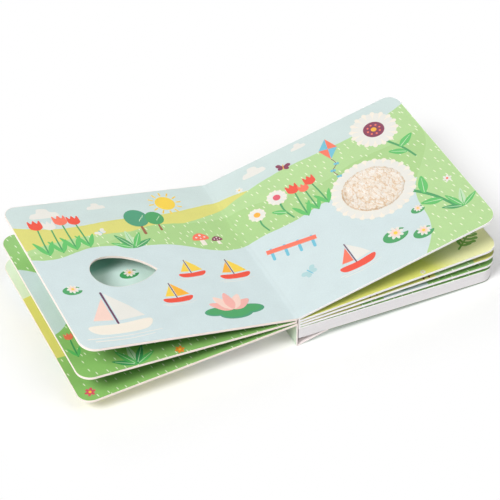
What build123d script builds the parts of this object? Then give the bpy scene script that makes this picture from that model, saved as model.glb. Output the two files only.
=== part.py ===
from build123d import *
import os
from math import asin, atan2, cos, degrees, hypot, radians, sin, tan

# Board book with a fleece patch, a peek-through window and a sound module in a thick end block.
# It lies open: X runs across the spread, Y along the spine towards the head of the pages, Z up.
# It stands on the heel of the spine and on the far edge of the back cover. Millimetres.

# Leaves
page_width = 180.0
page_height = 175.0
leaf_thickness = 1.9
corner_radius = 11.5
fold_gap = 0.8
left_lifts = (12.9, 4.3)
right_lifts = (12.0, 2.1, 0.4, -1.45)

# Spine and gutter
cover_card = 0.95
spine_gap = 0.8
gutter_x = 0.4
gutter_slot = 1.65
fold_wall = 0.95
cover_lift = -2.95
crease_clearance = 0.12
strip_reach = 26.0

# End block with the sound module
block_length = 177.7
block_depth = 10.0
block_tilt = 2.27
module_u = 104.0
module_y = 0.0
module_length = 76.0
module_width = 96.0
module_corner = 3.0
pocket_clearance = 0.4
window_margin = 2.5
window_clearance = 0.3
face_recess = 0.2

# Peek-through window in the upper left leaf
peek_reach = 121.3
peek_y = -4.25
peek_radius = 18.65
peek_tip_reach = 85.3
peek_tip_y = -8.0
peek_tip_radius = 1.2

# Fleece patch in the upper right leaf
fleece_reach = 113.5
fleece_y = -0.5
fleece_long = 53.0
fleece_wide = 47.6
fleece_clearance = 0.3
fleece_proud = 1.5
fleece_bevel = 1.2

# Module shells
shell_plate = 1.2
shell_wall = 1.2
lid_plate = 1.15
boss_radius = 2.5
pilot_radius = 0.75
screw_head_radius = 1.9
screw_head_height = 0.7
screw_inset = 4.6
screw_length = 5.0

# Circuit board and what stands on it
board_length = 62.0
board_width = 48.0
board_thickness = 1.0
board_height = 2.85
board_y = 17.5
board_post_radius = 2.2
board_screw_u = 27.5
chip_radius = 4.5
chip_top_radius = 2.5
chip_height = 0.9

# Press buttons
button_spots = ((-19.0, -15.0), (19.0, -15.0), (-19.0, 15.0), (19.0, 15.0))
button_radius = 6.0
button_travel = 0.7
button_proud = 0.15
button_clearance = 0.2
button_flange = 1.2
button_flange_height = 0.8
button_stop_gap = 0.1
stem_radius = 2.0
page_gap = 0.1
dome_radius = 4.6
dome_top_radius = 2.4
dome_height = 1.4
dome_wall = 0.45
dome_gap = 0.3

# Speaker
speaker_u = -22.3
speaker_y = -28.0
speaker_radius = 13.0
speaker_rim = 2.0
speaker_rim_height = 0.9
basket_height = 3.0
basket_wall = 0.6
magnet_radius = 6.5
magnet_height = 2.9
cone_wall = 0.4
cone_gap = 0.15
grille_pitch = 4.6
grille_rings = 2
grille_holes_each_ring = 6
grille_hole_radius = 1.1

# Batteries, their contacts and their door
cell_radius = 5.8
cell_height = 5.4
cell_pitch = 12.4
cell_count = 3
battery_u = 13.4
battery_y = -29.0
cell_clearance = 0.45
battery_rib = 1.0
contact_thickness = 0.25
contact_width = 4.0
contact_riser_gap = 0.1
door_plate = 1.2
door_clearance = 0.2
door_ledge = 1.6
door_tongue = 6.0
door_corner = 1.5
nail_slot_length = 10.0
nail_slot_width = 1.4
nail_slot_depth = 0.5

# Power switch
switch_u = -1.0
switch_y = 2.5
switch_length = 9.0
switch_width = 4.6
switch_wall = 0.8
switch_travel = 2.5
slider_length = 3.4
slider_height = 1.2
slider_clearance = 0.1
knob_length = 1.8
knob_width = 2.0
knob_recess = 0.25
finger_dish_length = 14.0
finger_dish_width = 8.0
finger_dish_depth = 0.9

# Worked-out sizes
ply = leaf_thickness / 2
leaf_pitch = leaf_thickness + fold_gap
block_x = cover_card / 2 + spine_gap
block_z = block_length * sin(radians(block_tilt))
stack_height = cover_card + block_depth + ply
stack_top = block_z + stack_height * cos(radians(block_tilt))
lowest_leaf = stack_top + fold_gap + leaf_thickness / 2
top_leaf = lowest_leaf + (len(right_lifts) - 1) * leaf_pitch
cover_height = top_leaf - len(left_lifts) * leaf_pitch
slot_left = block_x - gutter_slot

hinge_x = -cover_card / 2
hinge_z = (cover_height + (gutter_x - hinge_x) * tan(radians(cover_lift))
           - leaf_thickness / 2 / cos(radians(cover_lift)))

plate_bottom = cover_card
plate_top = plate_bottom + shell_plate
board_bottom = plate_top + board_height
board_top = board_bottom + board_thickness
button_top = cover_card + block_depth - page_gap
lid_top = button_top - button_travel - button_proud
lid_bottom = lid_top - lid_plate
flange_top = lid_bottom - button_stop_gap
flange_bottom = flange_top - button_flange_height
stem_bottom = board_top + dome_height + dome_gap
door_top = face_recess + door_plate
cell_bottom = door_top + contact_thickness
cell_top = cell_bottom + cell_height
window_length = module_length - 2 * window_margin
window_width = module_width - 2 * window_margin
battery_length = cell_pitch * (cell_count - 1) + 2 * (cell_radius + cell_clearance)
battery_width = 2 * (cell_radius + cell_clearance)
cell_places = [battery_u + (k - (cell_count - 1) / 2) * cell_pitch for k in range(cell_count)]
door_screw_y = battery_y - battery_width / 2 - door_ledge - door_tongue / 2


# Placing

def on_leaf(side, mid_height, lift):
    return Pos(gutter_x, 0, mid_height) * Rot(0, -side * lift, 0)


def on_block(part):
    return Pos(block_x, 0, block_z) * Rot(0, block_tilt, 0) * part


def on_module(part):
    return on_block(Pos(module_u, module_y, 0) * part)


def slab(length, width, low, high, radius=0.0, u=0.0, y=0.0):
    outline = Rectangle(length, width)
    if radius:
        outline = fillet(outline.vertices(), radius)
    return Pos(u, y, low) * extrude(outline, high - low)


def rod(radius, low, high, u=0.0, y=0.0):
    return Pos(u, y, low) * Cylinder(radius, high - low, align=(Align.CENTER, Align.CENTER, Align.MIN))


def spun(points):
    return revolve(make_face(Plane.XZ * Polyline(*points, close=True)), Axis.Z)


# Leaves and covers

def page_outline(length):
    outline = Pos(length / 2, 0) * Rectangle(length, page_height)
    return fillet(outline.vertices().sort_by(Axis.X)[-2:], corner_radius)


def leaf_board(side):
    board = extrude(page_outline(page_width), leaf_thickness / 2, both=True)
    return board if side > 0 else mirror(board, Plane.YZ)


def peek_outline():
    # A drop: a half circle, and two arcs that leave it squarely and meet at the tip
    top = (-peek_reach, peek_y + peek_radius)
    bottom = (-peek_reach, peek_y - peek_radius)
    back = (-peek_reach - peek_radius, peek_y)
    tip = (-peek_tip_reach, peek_tip_y)
    edge = (ThreePointArc(top, back, bottom) + TangentArc(bottom, tip, tangent=(1, 0))
            + TangentArc(top, tip, tangent=(1, 0)))
    drop = make_face(edge)
    return fillet(drop.vertices().sort_by(Axis.X)[-1:], peek_tip_radius)


def fleece_outline(shrink):
    return Pos(fleece_reach, fleece_y) * Ellipse(fleece_long / 2 - shrink, fleece_wide / 2 - shrink)


def section_wall(points):
    # A profile in the XZ plane, as long as the spine
    profile = make_face(Plane.XZ * Polyline(*points, close=True))
    return Pos(0, page_height / 2, 0) * extrude(profile, page_height)


def board_pages():
    peek_cut = extrude(peek_outline(), leaf_thickness, both=True)
    fleece_cut = extrude(fleece_outline(0), leaf_thickness)
    boards = []
    for k, lift in enumerate(left_lifts):
        board = leaf_board(-1) - peek_cut if k == 0 else leaf_board(-1)
        boards.append(on_leaf(-1, top_leaf - k * leaf_pitch, lift) * board)
    for k, lift in enumerate(right_lifts):
        board = leaf_board(1) - fleece_cut if k == 0 else leaf_board(1)
        boards.append(on_leaf(1, top_leaf - k * leaf_pitch, lift) * board)
    end_page = extrude(page_outline(block_length), ply)
    boards.append(on_block(Pos(0, 0, cover_card + block_depth) * end_page))

    # Folded inner edges: a wall each side of the gutter joins the leaves, and the open
    # spread's upper ply crosses between them
    left_edge = top_leaf - (slot_left - gutter_x) * tan(radians(left_lifts[0]))
    right_edge = top_leaf + (block_x - gutter_x) * tan(radians(right_lifts[0]))
    left_base = top_leaf - (len(left_lifts) - 1) * leaf_pitch - ply
    right_base = stack_top - ply
    left_wall = section_wall([(slot_left - fold_wall, left_base), (slot_left, left_base),
                              (slot_left, left_edge), (slot_left - fold_wall, left_edge)])
    right_wall = section_wall([(block_x, right_base), (block_x + fold_wall, right_base),
                               (block_x + fold_wall, right_edge), (block_x, right_edge)])
    slot = section_wall([(slot_left, right_base - ply), (block_x, right_base - ply),
                         (block_x, right_edge), (gutter_x, top_leaf), (slot_left, left_edge)])
    pages = boards[0]
    for piece in boards[1:] + [left_wall, right_wall]:
        pages = pages + piece
    return pages - slot


def fleece_patch():
    pad = extrude(fleece_outline(fleece_clearance), ply + fleece_proud)
    pad = chamfer(pad.edges().group_by(Axis.Z)[-1], fleece_bevel)
    return on_leaf(1, top_leaf, right_lifts[0]) * pad


def front_cover():
    # The board runs on past the gutter to the spine board's inner face, over its top edge
    overrun = cover_card / 2 - gutter_x + cover_card
    board = leaf_board(-1) + Pos(overrun / 2, 0, 0) * Box(overrun, page_height, leaf_thickness)
    placed = on_leaf(-1, cover_height, cover_lift) * board
    inside = Pos(cover_card / 2, 0, cover_height) * Box(page_width, 2 * page_height, page_width,
                                                        align=(Align.MIN, Align.CENTER, Align.CENTER))
    return placed - inside


def back_cover():
    # One folded card: spine board, heel, free hinge strip and the panel under the block
    tilt = radians(block_tilt)
    heel = (cover_card / 2, cover_card)
    score_u = (strip_reach - block_x) / cos(tilt)

    def panel_point(u, w):
        return (block_x + u * cos(tilt) + w * sin(tilt), block_z - u * sin(tilt) + w * cos(tilt))

    score = panel_point(score_u, 0)
    run = hypot(score[0] - heel[0], score[1] - heel[1])
    strip_angle = atan2(score[1] - heel[1], score[0] - heel[0]) + asin(cover_card / run)
    leave = (heel[0] + cover_card * sin(strip_angle), heel[1] - cover_card * cos(strip_angle))
    heel_corner = (heel[0] - cover_card * cos(radians(45)), heel[1] - cover_card * sin(radians(45)))
    bend = (strip_angle + tilt) / 2
    score_inner_u = score_u + cover_card * tan(bend)
    inner = panel_point(score_inner_u, cover_card)
    top = hinge_z - crease_clearance
    face_edge = (Line((hinge_x, top), (hinge_x, heel[1]))
                 + ThreePointArc((hinge_x, heel[1]), heel_corner, leave)
                 + Polyline(leave, score, panel_point(block_length, 0),
                            panel_point(block_length, cover_card), inner, heel,
                            (cover_card / 2, top), (hinge_x, top)))
    profile = make_face(Plane.XZ * face_edge)
    card = Pos(0, page_height / 2, 0) * extrude(profile, page_height)
    reach = page_width / 2
    trim = Pos(0, 0, -reach) * extrude(page_outline(block_length), 2 * reach)
    free_part = Pos(-reach / 2, 0, 0) * Box(reach, page_height, 2 * reach)
    card = card & on_block(trim + free_part)
    window = slab(window_length, window_width, -cover_card, 2 * cover_card, module_corner)
    return card - on_module(window)


def sound_block():
    core = Pos(0, 0, cover_card) * extrude(page_outline(block_length), block_depth)
    pocket = slab(module_length + 2 * pocket_clearance, module_width + 2 * pocket_clearance,
                  0, 2 * block_depth, module_corner + pocket_clearance)
    return on_block(core - Pos(module_u, module_y, 0) * pocket)


# Module shells

def screw_places():
    reach_u = module_length / 2 - screw_inset
    reach_y = module_width / 2 - screw_inset
    return [(su * reach_u, sy * reach_y) for su in (-1, 1) for sy in (-1, 1)]


def grille_places():
    # One hole in the middle and rings around it, each ring turned by half a step from the last
    places = [(speaker_u, speaker_y)]
    for ring in range(1, grille_rings + 1):
        for hole in range(grille_holes_each_ring):
            turn = radians(360 / grille_holes_each_ring * (hole + ring / 2))
            places.append((speaker_u + grille_pitch * ring * cos(turn),
                           speaker_y + grille_pitch * ring * sin(turn)))
    return places


def door_outline(grow):
    length = battery_length + 2 * (door_ledge + grow)
    width = battery_width + door_tongue + 2 * (door_ledge + grow)
    outline = Pos(battery_u, battery_y - door_tongue / 2) * Rectangle(length, width)
    return fillet(outline.vertices(), door_corner + grow)


def board_post_places():
    return [(su * board_screw_u, board_y) for su in (-1, 1)]


def module_base():
    base = slab(module_length, module_width, plate_bottom, plate_top, module_corner)
    base += slab(window_length - 2 * window_clearance, window_width - 2 * window_clearance,
                 face_recess, plate_bottom, module_corner - window_clearance)
    wall = slab(module_length, module_width, plate_top, lid_bottom, module_corner)
    wall -= slab(module_length - 2 * shell_wall, module_width - 2 * shell_wall,
                 plate_top, lid_bottom, module_corner - shell_wall)
    base += wall
    for u, y in screw_places():
        base += rod(boss_radius, plate_top, lid_bottom, u, y)
    for u, y in board_post_places():
        base += rod(board_post_radius, plate_top, board_bottom, u, y)
    base += rod(boss_radius, plate_top, cell_top - battery_rib, battery_u, door_screw_y)
    rib = slab(battery_length + 2 * battery_rib, battery_width + 2 * battery_rib,
               plate_top, cell_top - battery_rib, 0, battery_u, battery_y)
    base += rib - slab(battery_length, battery_width, plate_top, cell_top, 0, battery_u, battery_y)
    base += rod(speaker_radius + window_clearance + battery_rib, plate_top, plate_top + speaker_rim_height,
                speaker_u, speaker_y)
    base -= rod(speaker_radius + window_clearance, plate_top, plate_top + speaker_rim_height,
                speaker_u, speaker_y)
    # Openings: battery mouth, door seat, screw pilots, grille, switch slot in a finger dish
    base -= slab(battery_length, battery_width, 0, plate_top, 0, battery_u, battery_y)
    base -= extrude(door_outline(door_clearance), door_top)
    for u, y in screw_places():
        base -= rod(pilot_radius, lid_bottom - screw_length, lid_bottom, u, y)
    for u, y in board_post_places():
        base -= rod(pilot_radius, plate_top, board_bottom, u, y)
    base -= rod(pilot_radius, door_top, door_top + screw_length, battery_u, door_screw_y)
    for u, y in grille_places():
        base -= rod(grille_hole_radius, 0, plate_top, u, y)
    slot_length = knob_length + switch_travel + 2 * slider_clearance
    slot_y = switch_y + switch_travel / 2
    base -= slab(knob_width + 4 * slider_clearance, slot_length, 0, plate_top, 0, switch_u, slot_y)
    base -= slab(finger_dish_width, finger_dish_length, 0, face_recess + finger_dish_depth,
                 module_corner, switch_u, slot_y)
    return on_module(base)


def module_lid():
    lid = slab(module_length, module_width, lid_bottom, lid_top, module_corner)
    for u, y in button_spots:
        lid -= rod(button_radius + button_clearance, lid_bottom, lid_top, u, y + board_y)
    for u, y in screw_places():
        lid -= rod(pilot_radius, lid_bottom, lid_top, u, y)
        lid -= rod(screw_head_radius + button_clearance, lid_top - screw_head_height, lid_top, u, y)
    # Ribs that hold the top contacts down on the cells
    rib_u = battery_length - 2 * battery_rib
    lid += slab(rib_u, battery_rib, cell_top + contact_thickness, lid_bottom, 0, battery_u, battery_y)
    return on_module(lid)


# Fasteners

def screw(head_side, head_low, length):
    # head_side is +1 for a head above its shank
    head = rod(screw_head_radius, head_low, head_low + screw_head_height)
    if head_side > 0:
        shank = rod(pilot_radius, head_low - length, head_low)
        slot_low = head_low + screw_head_height / 2
    else:
        shank = rod(pilot_radius, head_low + screw_head_height, head_low + screw_head_height + length)
        slot_low = head_low
    drive = slab(2 * screw_head_radius * 0.7, 0.5, slot_low, slot_low + screw_head_height / 2)
    cross = slab(0.5, 2 * screw_head_radius * 0.7, slot_low, slot_low + screw_head_height / 2)
    return head + shank - drive - cross


def lid_screws():
    one = screw(1, lid_top - screw_head_height, screw_length - 1.0)
    return on_module(Compound([Pos(u, y, 0) * one for u, y in screw_places()]))


def board_screws():
    one = screw(1, board_top, board_thickness + board_height - battery_rib)
    return on_module(Compound([Pos(u, y, 0) * one for u, y in board_post_places()]))


def door_screw():
    one = screw(-1, face_recess, screw_length - 1.0)
    return on_module(Pos(battery_u, door_screw_y, 0) * one)


# Circuit board, chip, domes and buttons

def circuit_board():
    board = slab(board_length, board_width, board_bottom, board_top, 1.0, 0, board_y)
    for u, y in board_post_places():
        board -= rod(pilot_radius, board_bottom, board_top, u, y)
    return on_module(board)


def sound_chip():
    # A blob of resin: a low mound with a flat crown
    low = board_top
    blob = spun([(0, low), (chip_radius, low), (chip_radius - chip_height / 3, low + chip_height * 2 / 3),
                 (chip_top_radius, low + chip_height), (0, low + chip_height)])
    return on_module(Pos(0, board_y, 0) * blob)


def return_dome(u, y):
    low = board_top
    high = board_top + dome_height
    dome = spun([(dome_radius, low), (dome_radius, low + dome_wall), (dome_radius - dome_wall, low + dome_wall),
                 (dome_top_radius, high), (0, high), (0, high - dome_wall),
                 (dome_top_radius - dome_wall / 2, high - dome_wall),
                 (dome_radius - 2 * dome_wall, low)])
    return on_module(Pos(u, y + board_y, 0) * dome)


def press_button(u, y):
    flange_radius = button_radius + button_flange
    edge = button_flange_height / 2
    cap = spun([(0, stem_bottom), (stem_radius, stem_bottom), (stem_radius, flange_bottom),
                (flange_radius, flange_bottom), (flange_radius, flange_top), (button_radius, flange_top),
                (button_radius, button_top - edge), (button_radius - edge, button_top), (0, button_top)])
    return on_module(Pos(u, y + board_y, 0) * cap)


# Speaker

def speaker_basket():
    low = plate_top
    rim = low + speaker_rim_height
    high = low + basket_height
    neck = magnet_radius + basket_wall
    inner = speaker_radius - speaker_rim
    basket = spun([(speaker_radius, low), (speaker_radius, rim), (speaker_radius - basket_wall, rim),
                   (neck, high), (magnet_radius / 2, high), (magnet_radius / 2, high - basket_wall),
                   (neck - basket_wall, high - basket_wall), (inner, rim), (inner, low)])
    return on_module(Pos(speaker_u, speaker_y, 0) * basket)


def speaker_cone():
    low = plate_top + cone_gap
    outer = speaker_radius - speaker_rim
    coil = magnet_radius / 2 - cone_gap
    high = plate_top + basket_height - basket_wall - cone_gap
    cone = spun([(outer, low), (outer, low + cone_wall), (coil, high), (0, high),
                 (0, high - cone_wall), (coil - cone_wall, high - cone_wall), (outer - 2 * cone_wall, low)])
    return on_module(Pos(speaker_u, speaker_y, 0) * cone)


def speaker_magnet():
    low = plate_top + basket_height
    can = rod(magnet_radius, low, low + magnet_height, speaker_u, speaker_y)
    can = chamfer(can.edges().group_by(Axis.Z)[-1], basket_wall)
    return on_module(can)


# Power cells and contacts

def button_cell(u):
    # A crimped can with the narrower cap at the foot
    step = contact_thickness
    cell = spun([(0, cell_bottom), (cell_radius - 2 * step, cell_bottom),
                 (cell_radius - 2 * step, cell_bottom + step), (cell_radius - step / 2, cell_bottom + 2 * step),
                 (cell_radius, cell_bottom + 3 * step), (cell_radius, cell_top - step),
                 (cell_radius - step, cell_top), (0, cell_top)])
    return on_module(Pos(u, battery_y, 0) * cell)


def strip(u_low, u_high, y_low, y_high, low, high):
    return slab(u_high - u_low, y_high - y_low, low, high, 0, (u_low + u_high) / 2, (y_low + y_high) / 2)


def board_lead(u):
    # A strip from over the cells to the circuit board, with a soldered foot
    half = contact_width / 2
    edge = board_y - board_width / 2
    high = cell_top + contact_thickness
    run = strip(u - half, u + half, battery_y, edge + contact_width, cell_top, high)
    foot = strip(u - half, u + half, edge + contact_width - contact_thickness, edge + contact_width,
                 board_top, cell_top)
    return run + foot


def contact_positive():
    return on_module(board_lead(cell_places[0]))


def contact_negative():
    # Under the last cell, up beside it and over to the circuit board
    u = cell_places[-1]
    half = contact_width / 2
    side = battery_y + cell_radius + contact_riser_gap
    high = cell_top + contact_thickness
    reach = board_y - board_width / 2 + contact_width
    pad = strip(u - half, u + half, battery_y - half, side, door_top, cell_bottom)
    riser = strip(u - half, u + half, side, side + contact_thickness, door_top, high)
    run = strip(u - half, u + half, side, reach, cell_top, high)
    foot = strip(u - half, u + half, reach - contact_thickness, reach, board_top, cell_top)
    return on_module(pad + riser + run + foot)


def contact_link(first, low):
    half = contact_width / 2
    return on_module(strip(cell_places[first] - half, cell_places[first + 1] + half,
                           battery_y - half, battery_y + half, low, low + contact_thickness))


def battery_door():
    door = Pos(0, 0, face_recess) * extrude(door_outline(0), door_plate)
    door -= rod(screw_head_radius + button_clearance, 0, face_recess + screw_head_height,
                battery_u, door_screw_y)
    door -= rod(pilot_radius + button_clearance, 0, door_top, battery_u, door_screw_y)
    nail_u = battery_u - battery_length / 2
    door -= slab(nail_slot_width, nail_slot_length, 0, face_recess + nail_slot_depth,
                 nail_slot_width / 2.1, nail_u, battery_y)
    return on_module(door)


# Power switch

def switch_case():
    low = plate_top + slider_clearance
    place_y = switch_y + switch_travel / 2
    case = slab(switch_width, switch_length, low, board_bottom, 0, switch_u, place_y)
    cavity_length = slider_length + switch_travel + 2 * slider_clearance
    cavity_width = switch_width - 2 * switch_wall
    case -= slab(cavity_width, cavity_length, low, low + slider_height + 2 * slider_clearance, 0,
                 switch_u, place_y)
    return on_module(case)


def switch_slider():
    low = plate_top + 2 * slider_clearance
    width = switch_width - 2 * switch_wall - 2 * slider_clearance
    block = slab(width, slider_length, low, low + slider_height, 0, switch_u, switch_y)
    knob = slab(knob_width, knob_length, face_recess + knob_recess, low, 0, switch_u, switch_y)
    return on_module(block + knob)


def all_nodes():
    nodes = {
        "board_pages": board_pages(),
        "fleece_patch": fleece_patch(),
        "front_cover": front_cover(),
        "back_cover": back_cover(),
        "sound_block": sound_block(),
        "module_base": module_base(),
        "module_lid": module_lid(),
        "lid_screws": lid_screws(),
        "circuit_board": circuit_board(),
        "board_screws": board_screws(),
        "sound_chip": sound_chip(),
        "speaker_basket": speaker_basket(),
        "speaker_cone": speaker_cone(),
        "speaker_magnet": speaker_magnet(),
        "battery_door": battery_door(),
        "door_screw": door_screw(),
        "contact_positive": contact_positive(),
        "contact_negative": contact_negative(),
        "contact_top_link": contact_link(1, cell_top),
        "contact_door_link": contact_link(0, door_top),
        "switch_case": switch_case(),
        "switch_slider": switch_slider(),
    }
    for k, (u, y) in enumerate(button_spots):
        nodes[f"press_button_{k + 1}"] = press_button(u, y)
        nodes[f"return_dome_{k + 1}"] = return_dome(u, y)
    for k, u in enumerate(cell_places):
        nodes[f"battery_cell_{k + 1}"] = button_cell(u)
    return nodes


# The origin is at the bottom centre of the book's box
nodes = all_nodes()
left_end = min(part.bounding_box().min.X for part in nodes.values())
right_end = max(part.bounding_box().max.X for part in nodes.values())
origin_shift = -(left_end + right_end) / 2

os.makedirs("parts", exist_ok=True)
for name, part in nodes.items():
    export_step(Pos(origin_shift, 0, 0) * part, f"parts/{name}.step")
    print(name, "solids", len(part.solids()))
print("origin_shift", round(origin_shift, 4))
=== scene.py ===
import math
import random

import bmesh
import bpy
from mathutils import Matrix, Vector
from mathutils.geometry import tessellate_polygon


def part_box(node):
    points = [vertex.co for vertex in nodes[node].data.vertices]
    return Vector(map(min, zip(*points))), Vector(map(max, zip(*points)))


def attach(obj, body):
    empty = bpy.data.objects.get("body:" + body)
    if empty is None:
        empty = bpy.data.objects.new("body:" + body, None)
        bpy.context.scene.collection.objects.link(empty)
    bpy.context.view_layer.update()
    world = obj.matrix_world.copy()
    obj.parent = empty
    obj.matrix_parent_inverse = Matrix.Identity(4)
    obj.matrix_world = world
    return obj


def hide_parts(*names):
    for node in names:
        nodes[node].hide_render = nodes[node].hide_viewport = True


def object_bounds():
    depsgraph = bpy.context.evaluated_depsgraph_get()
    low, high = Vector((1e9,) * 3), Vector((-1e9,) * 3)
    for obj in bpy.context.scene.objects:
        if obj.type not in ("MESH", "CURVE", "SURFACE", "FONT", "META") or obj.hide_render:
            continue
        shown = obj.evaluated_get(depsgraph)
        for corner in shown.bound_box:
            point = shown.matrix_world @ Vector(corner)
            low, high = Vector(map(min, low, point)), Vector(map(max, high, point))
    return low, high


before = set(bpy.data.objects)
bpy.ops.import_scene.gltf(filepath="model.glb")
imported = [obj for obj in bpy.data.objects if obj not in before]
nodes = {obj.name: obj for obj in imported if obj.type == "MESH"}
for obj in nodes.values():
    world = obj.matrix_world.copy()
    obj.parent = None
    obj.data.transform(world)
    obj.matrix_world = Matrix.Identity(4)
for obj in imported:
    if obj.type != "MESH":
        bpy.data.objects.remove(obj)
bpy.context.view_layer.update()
mm = 0.001

# the book's own sizes, in millimetres and degrees, as its solids have them
book = {
    "pageWidth": 180.0, "pageHeight": 175.0, "leafThickness": 1.9, "cornerRadius": 11.5,
    "foldGap": 0.8, "gutterX": 0.4, "coverLift": -2.95,
    "leftLifts": (12.9, 4.3), "rightLifts": (12.0, 2.1, 0.4, -1.45),
    "coverCard": 0.95, "spineGap": 0.8, "creaseClearance": 0.12, "stripReach": 26.0,
    "blockLength": 177.7, "blockDepth": 10.0, "blockTilt": 2.27,
    "moduleReach": 104.0, "moduleLength": 71.0, "moduleWidth": 91.0, "moduleCorner": 3.0,
}
# the fleece's oval in the open right page
fleece = {"reach": 113.5, "y": -0.5, "long": 53.0, "wide": 47.6}
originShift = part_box("front_cover")[1].x / mm - book["coverCard"] / 2


def addObject(name, data):
    made = bpy.data.objects.new(name, data)
    bpy.context.scene.collection.objects.link(made)
    return made


def meshFrom(built, name, material):
    # a plain mesh from a finished bmesh
    data = bpy.data.meshes.new(name)
    built.to_mesh(data)
    built.free()
    data.materials.append(material)
    return data


def softened(made):
    for polygon in made.data.polygons:
        polygon.use_smooth = True
    return made


# Where things are

halfLeaf = book["leafThickness"] / 2
leafPitch = book["leafThickness"] + book["foldGap"]
tilt = math.radians(book["blockTilt"])
coverAngle = math.radians(book["coverLift"])
blockX = book["coverCard"] / 2 + book["spineGap"]
blockZ = book["blockLength"] * math.sin(tilt)
stackHeight = book["coverCard"] + book["blockDepth"] + halfLeaf
topLeaf = (blockZ + stackHeight * math.cos(tilt) + book["foldGap"] + halfLeaf
           + (len(book["rightLifts"]) - 1) * leafPitch)
coverHeight = topLeaf - len(book["leftLifts"]) * leafPitch


def leafSurface(side, midHeight, lift, face):
    # face is 1 for the upper side and -1 for the underside; x runs across the open spread
    angle = math.radians(lift)

    def place(x, y, out):
        s, h = side * x, face * (halfLeaf + out)
        across = book["gutterX"] + side * (s * math.cos(angle) - h * math.sin(angle))
        height = midHeight + s * math.sin(angle) + h * math.cos(angle)
        return Vector(((across + originShift) * mm, y * mm, height * mm))
    return {"place": place, "flipped": face < 0, "side": side}


def blockSurface(height, face):
    def place(x, y, out):
        w = height + face * out
        across = blockX + x * math.cos(tilt) + w * math.sin(tilt)
        return Vector(((across + originShift) * mm, y * mm,
                       (blockZ - x * math.sin(tilt) + w * math.cos(tilt)) * mm))
    return {"place": place, "flipped": face < 0, "side": 1}


surfaces = {}
for sideName, side, lifts in (("left", -1, book["leftLifts"]), ("right", 1, book["rightLifts"])):
    for count, lift in enumerate(lifts):
        for face, faceName in ((1, "Top"), (-1, "Under")):
            leafName = f"{sideName}{count + 1}{faceName}"
            surfaces[leafName] = leafSurface(side, topLeaf - count * leafPitch, lift, face)
surfaces["coverInside"] = leafSurface(-1, coverHeight, book["coverLift"], 1)
surfaces["coverOutside"] = leafSurface(-1, coverHeight, book["coverLift"], -1)
surfaces["endPage"] = blockSurface(stackHeight, 1)
surfaces["backOutside"] = blockSurface(0.0, -1)


# Shader building

def linear(red, green, blue):
    def one(value):
        value = value / 255
        return value / 12.92 if value <= 0.04045 else ((value + 0.055) / 1.055) ** 2.4
    return (one(red), one(green), one(blue), 1.0)


class Wire:
    # a socket that takes part in sums

    def __init__(self, wiring, socket):
        self.wiring = wiring
        self.socket = socket

    def out(self, key):
        # another output of the same node
        return Wire(self.wiring, self.socket.node.outputs[key])

    def __add__(self, other):
        return self.wiring.maths("ADD", self, other)

    def __radd__(self, other):
        return self.wiring.maths("ADD", other, self)

    def __sub__(self, other):
        return self.wiring.maths("SUBTRACT", self, other)

    def __rsub__(self, other):
        return self.wiring.maths("SUBTRACT", other, self)

    def __mul__(self, other):
        return self.wiring.maths("MULTIPLY", self, other)

    def __rmul__(self, other):
        return self.wiring.maths("MULTIPLY", other, self)

    def __truediv__(self, other):
        return self.wiring.maths("DIVIDE", self, other)

    def __rtruediv__(self, other):
        return self.wiring.maths("DIVIDE", other, self)

    def sine(self):
        return self.wiring.maths("SINE", self)

    def magnitude(self):
        return self.wiring.maths("ABSOLUTE", self)

    def clamped(self):
        return self.wiring.maths("ADD", self, 0.0, True)


class Wiring:
    # a node tree and the ways to add to it

    def __init__(self, tree):
        self.tree = tree

    def join(self, value, socket):
        if isinstance(value, Wire):
            self.tree.links.new(value.socket, socket)
        else:
            socket.default_value = value

    def node(self, kind, settings=None, values=None, output=0):
        made = self.tree.nodes.new(kind)
        for key, value in (settings or {}).items():
            if key == "stops":
                ramp = made.color_ramp
                while len(ramp.elements) < len(value):
                    ramp.elements.new(0.5)
                for element, (position, colour) in zip(ramp.elements, value):
                    element.position = position
                    element.color = colour
            else:
                setattr(made, key, value)
        for key, value in (values or {}).items():
            self.join(value, made.inputs[key])
        return Wire(self, made.outputs[output]) if len(made.outputs) else None

    def maths(self, operation, first, second=None, clamp=False):
        values = {0: first} if second is None else {0: first, 1: second}
        return self.node("ShaderNodeMath", {"operation": operation, "use_clamp": clamp}, values)

    def blend(self, factor, first, second, how="MIX"):
        return self.node("ShaderNodeMix", {"data_type": "RGBA", "blend_type": how},
                         {0: factor, 6: first, 7: second}, 2)

    def noise(self, vector, scale, detail=2.0, roughness=0.5):
        return self.node("ShaderNodeTexNoise", {}, {
            "Vector": vector, "Scale": scale, "Detail": detail, "Roughness": roughness})

    def scaled(self, vector, scale, rotation=(0.0, 0.0, 0.0)):
        return self.node("ShaderNodeMapping", {}, {"Vector": vector, "Rotation": rotation, "Scale": scale})

    def split(self, vector):
        # its first part; out(1) and out(2) of it are the others
        return self.node("ShaderNodeSeparateXYZ", {}, {0: vector})


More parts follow.
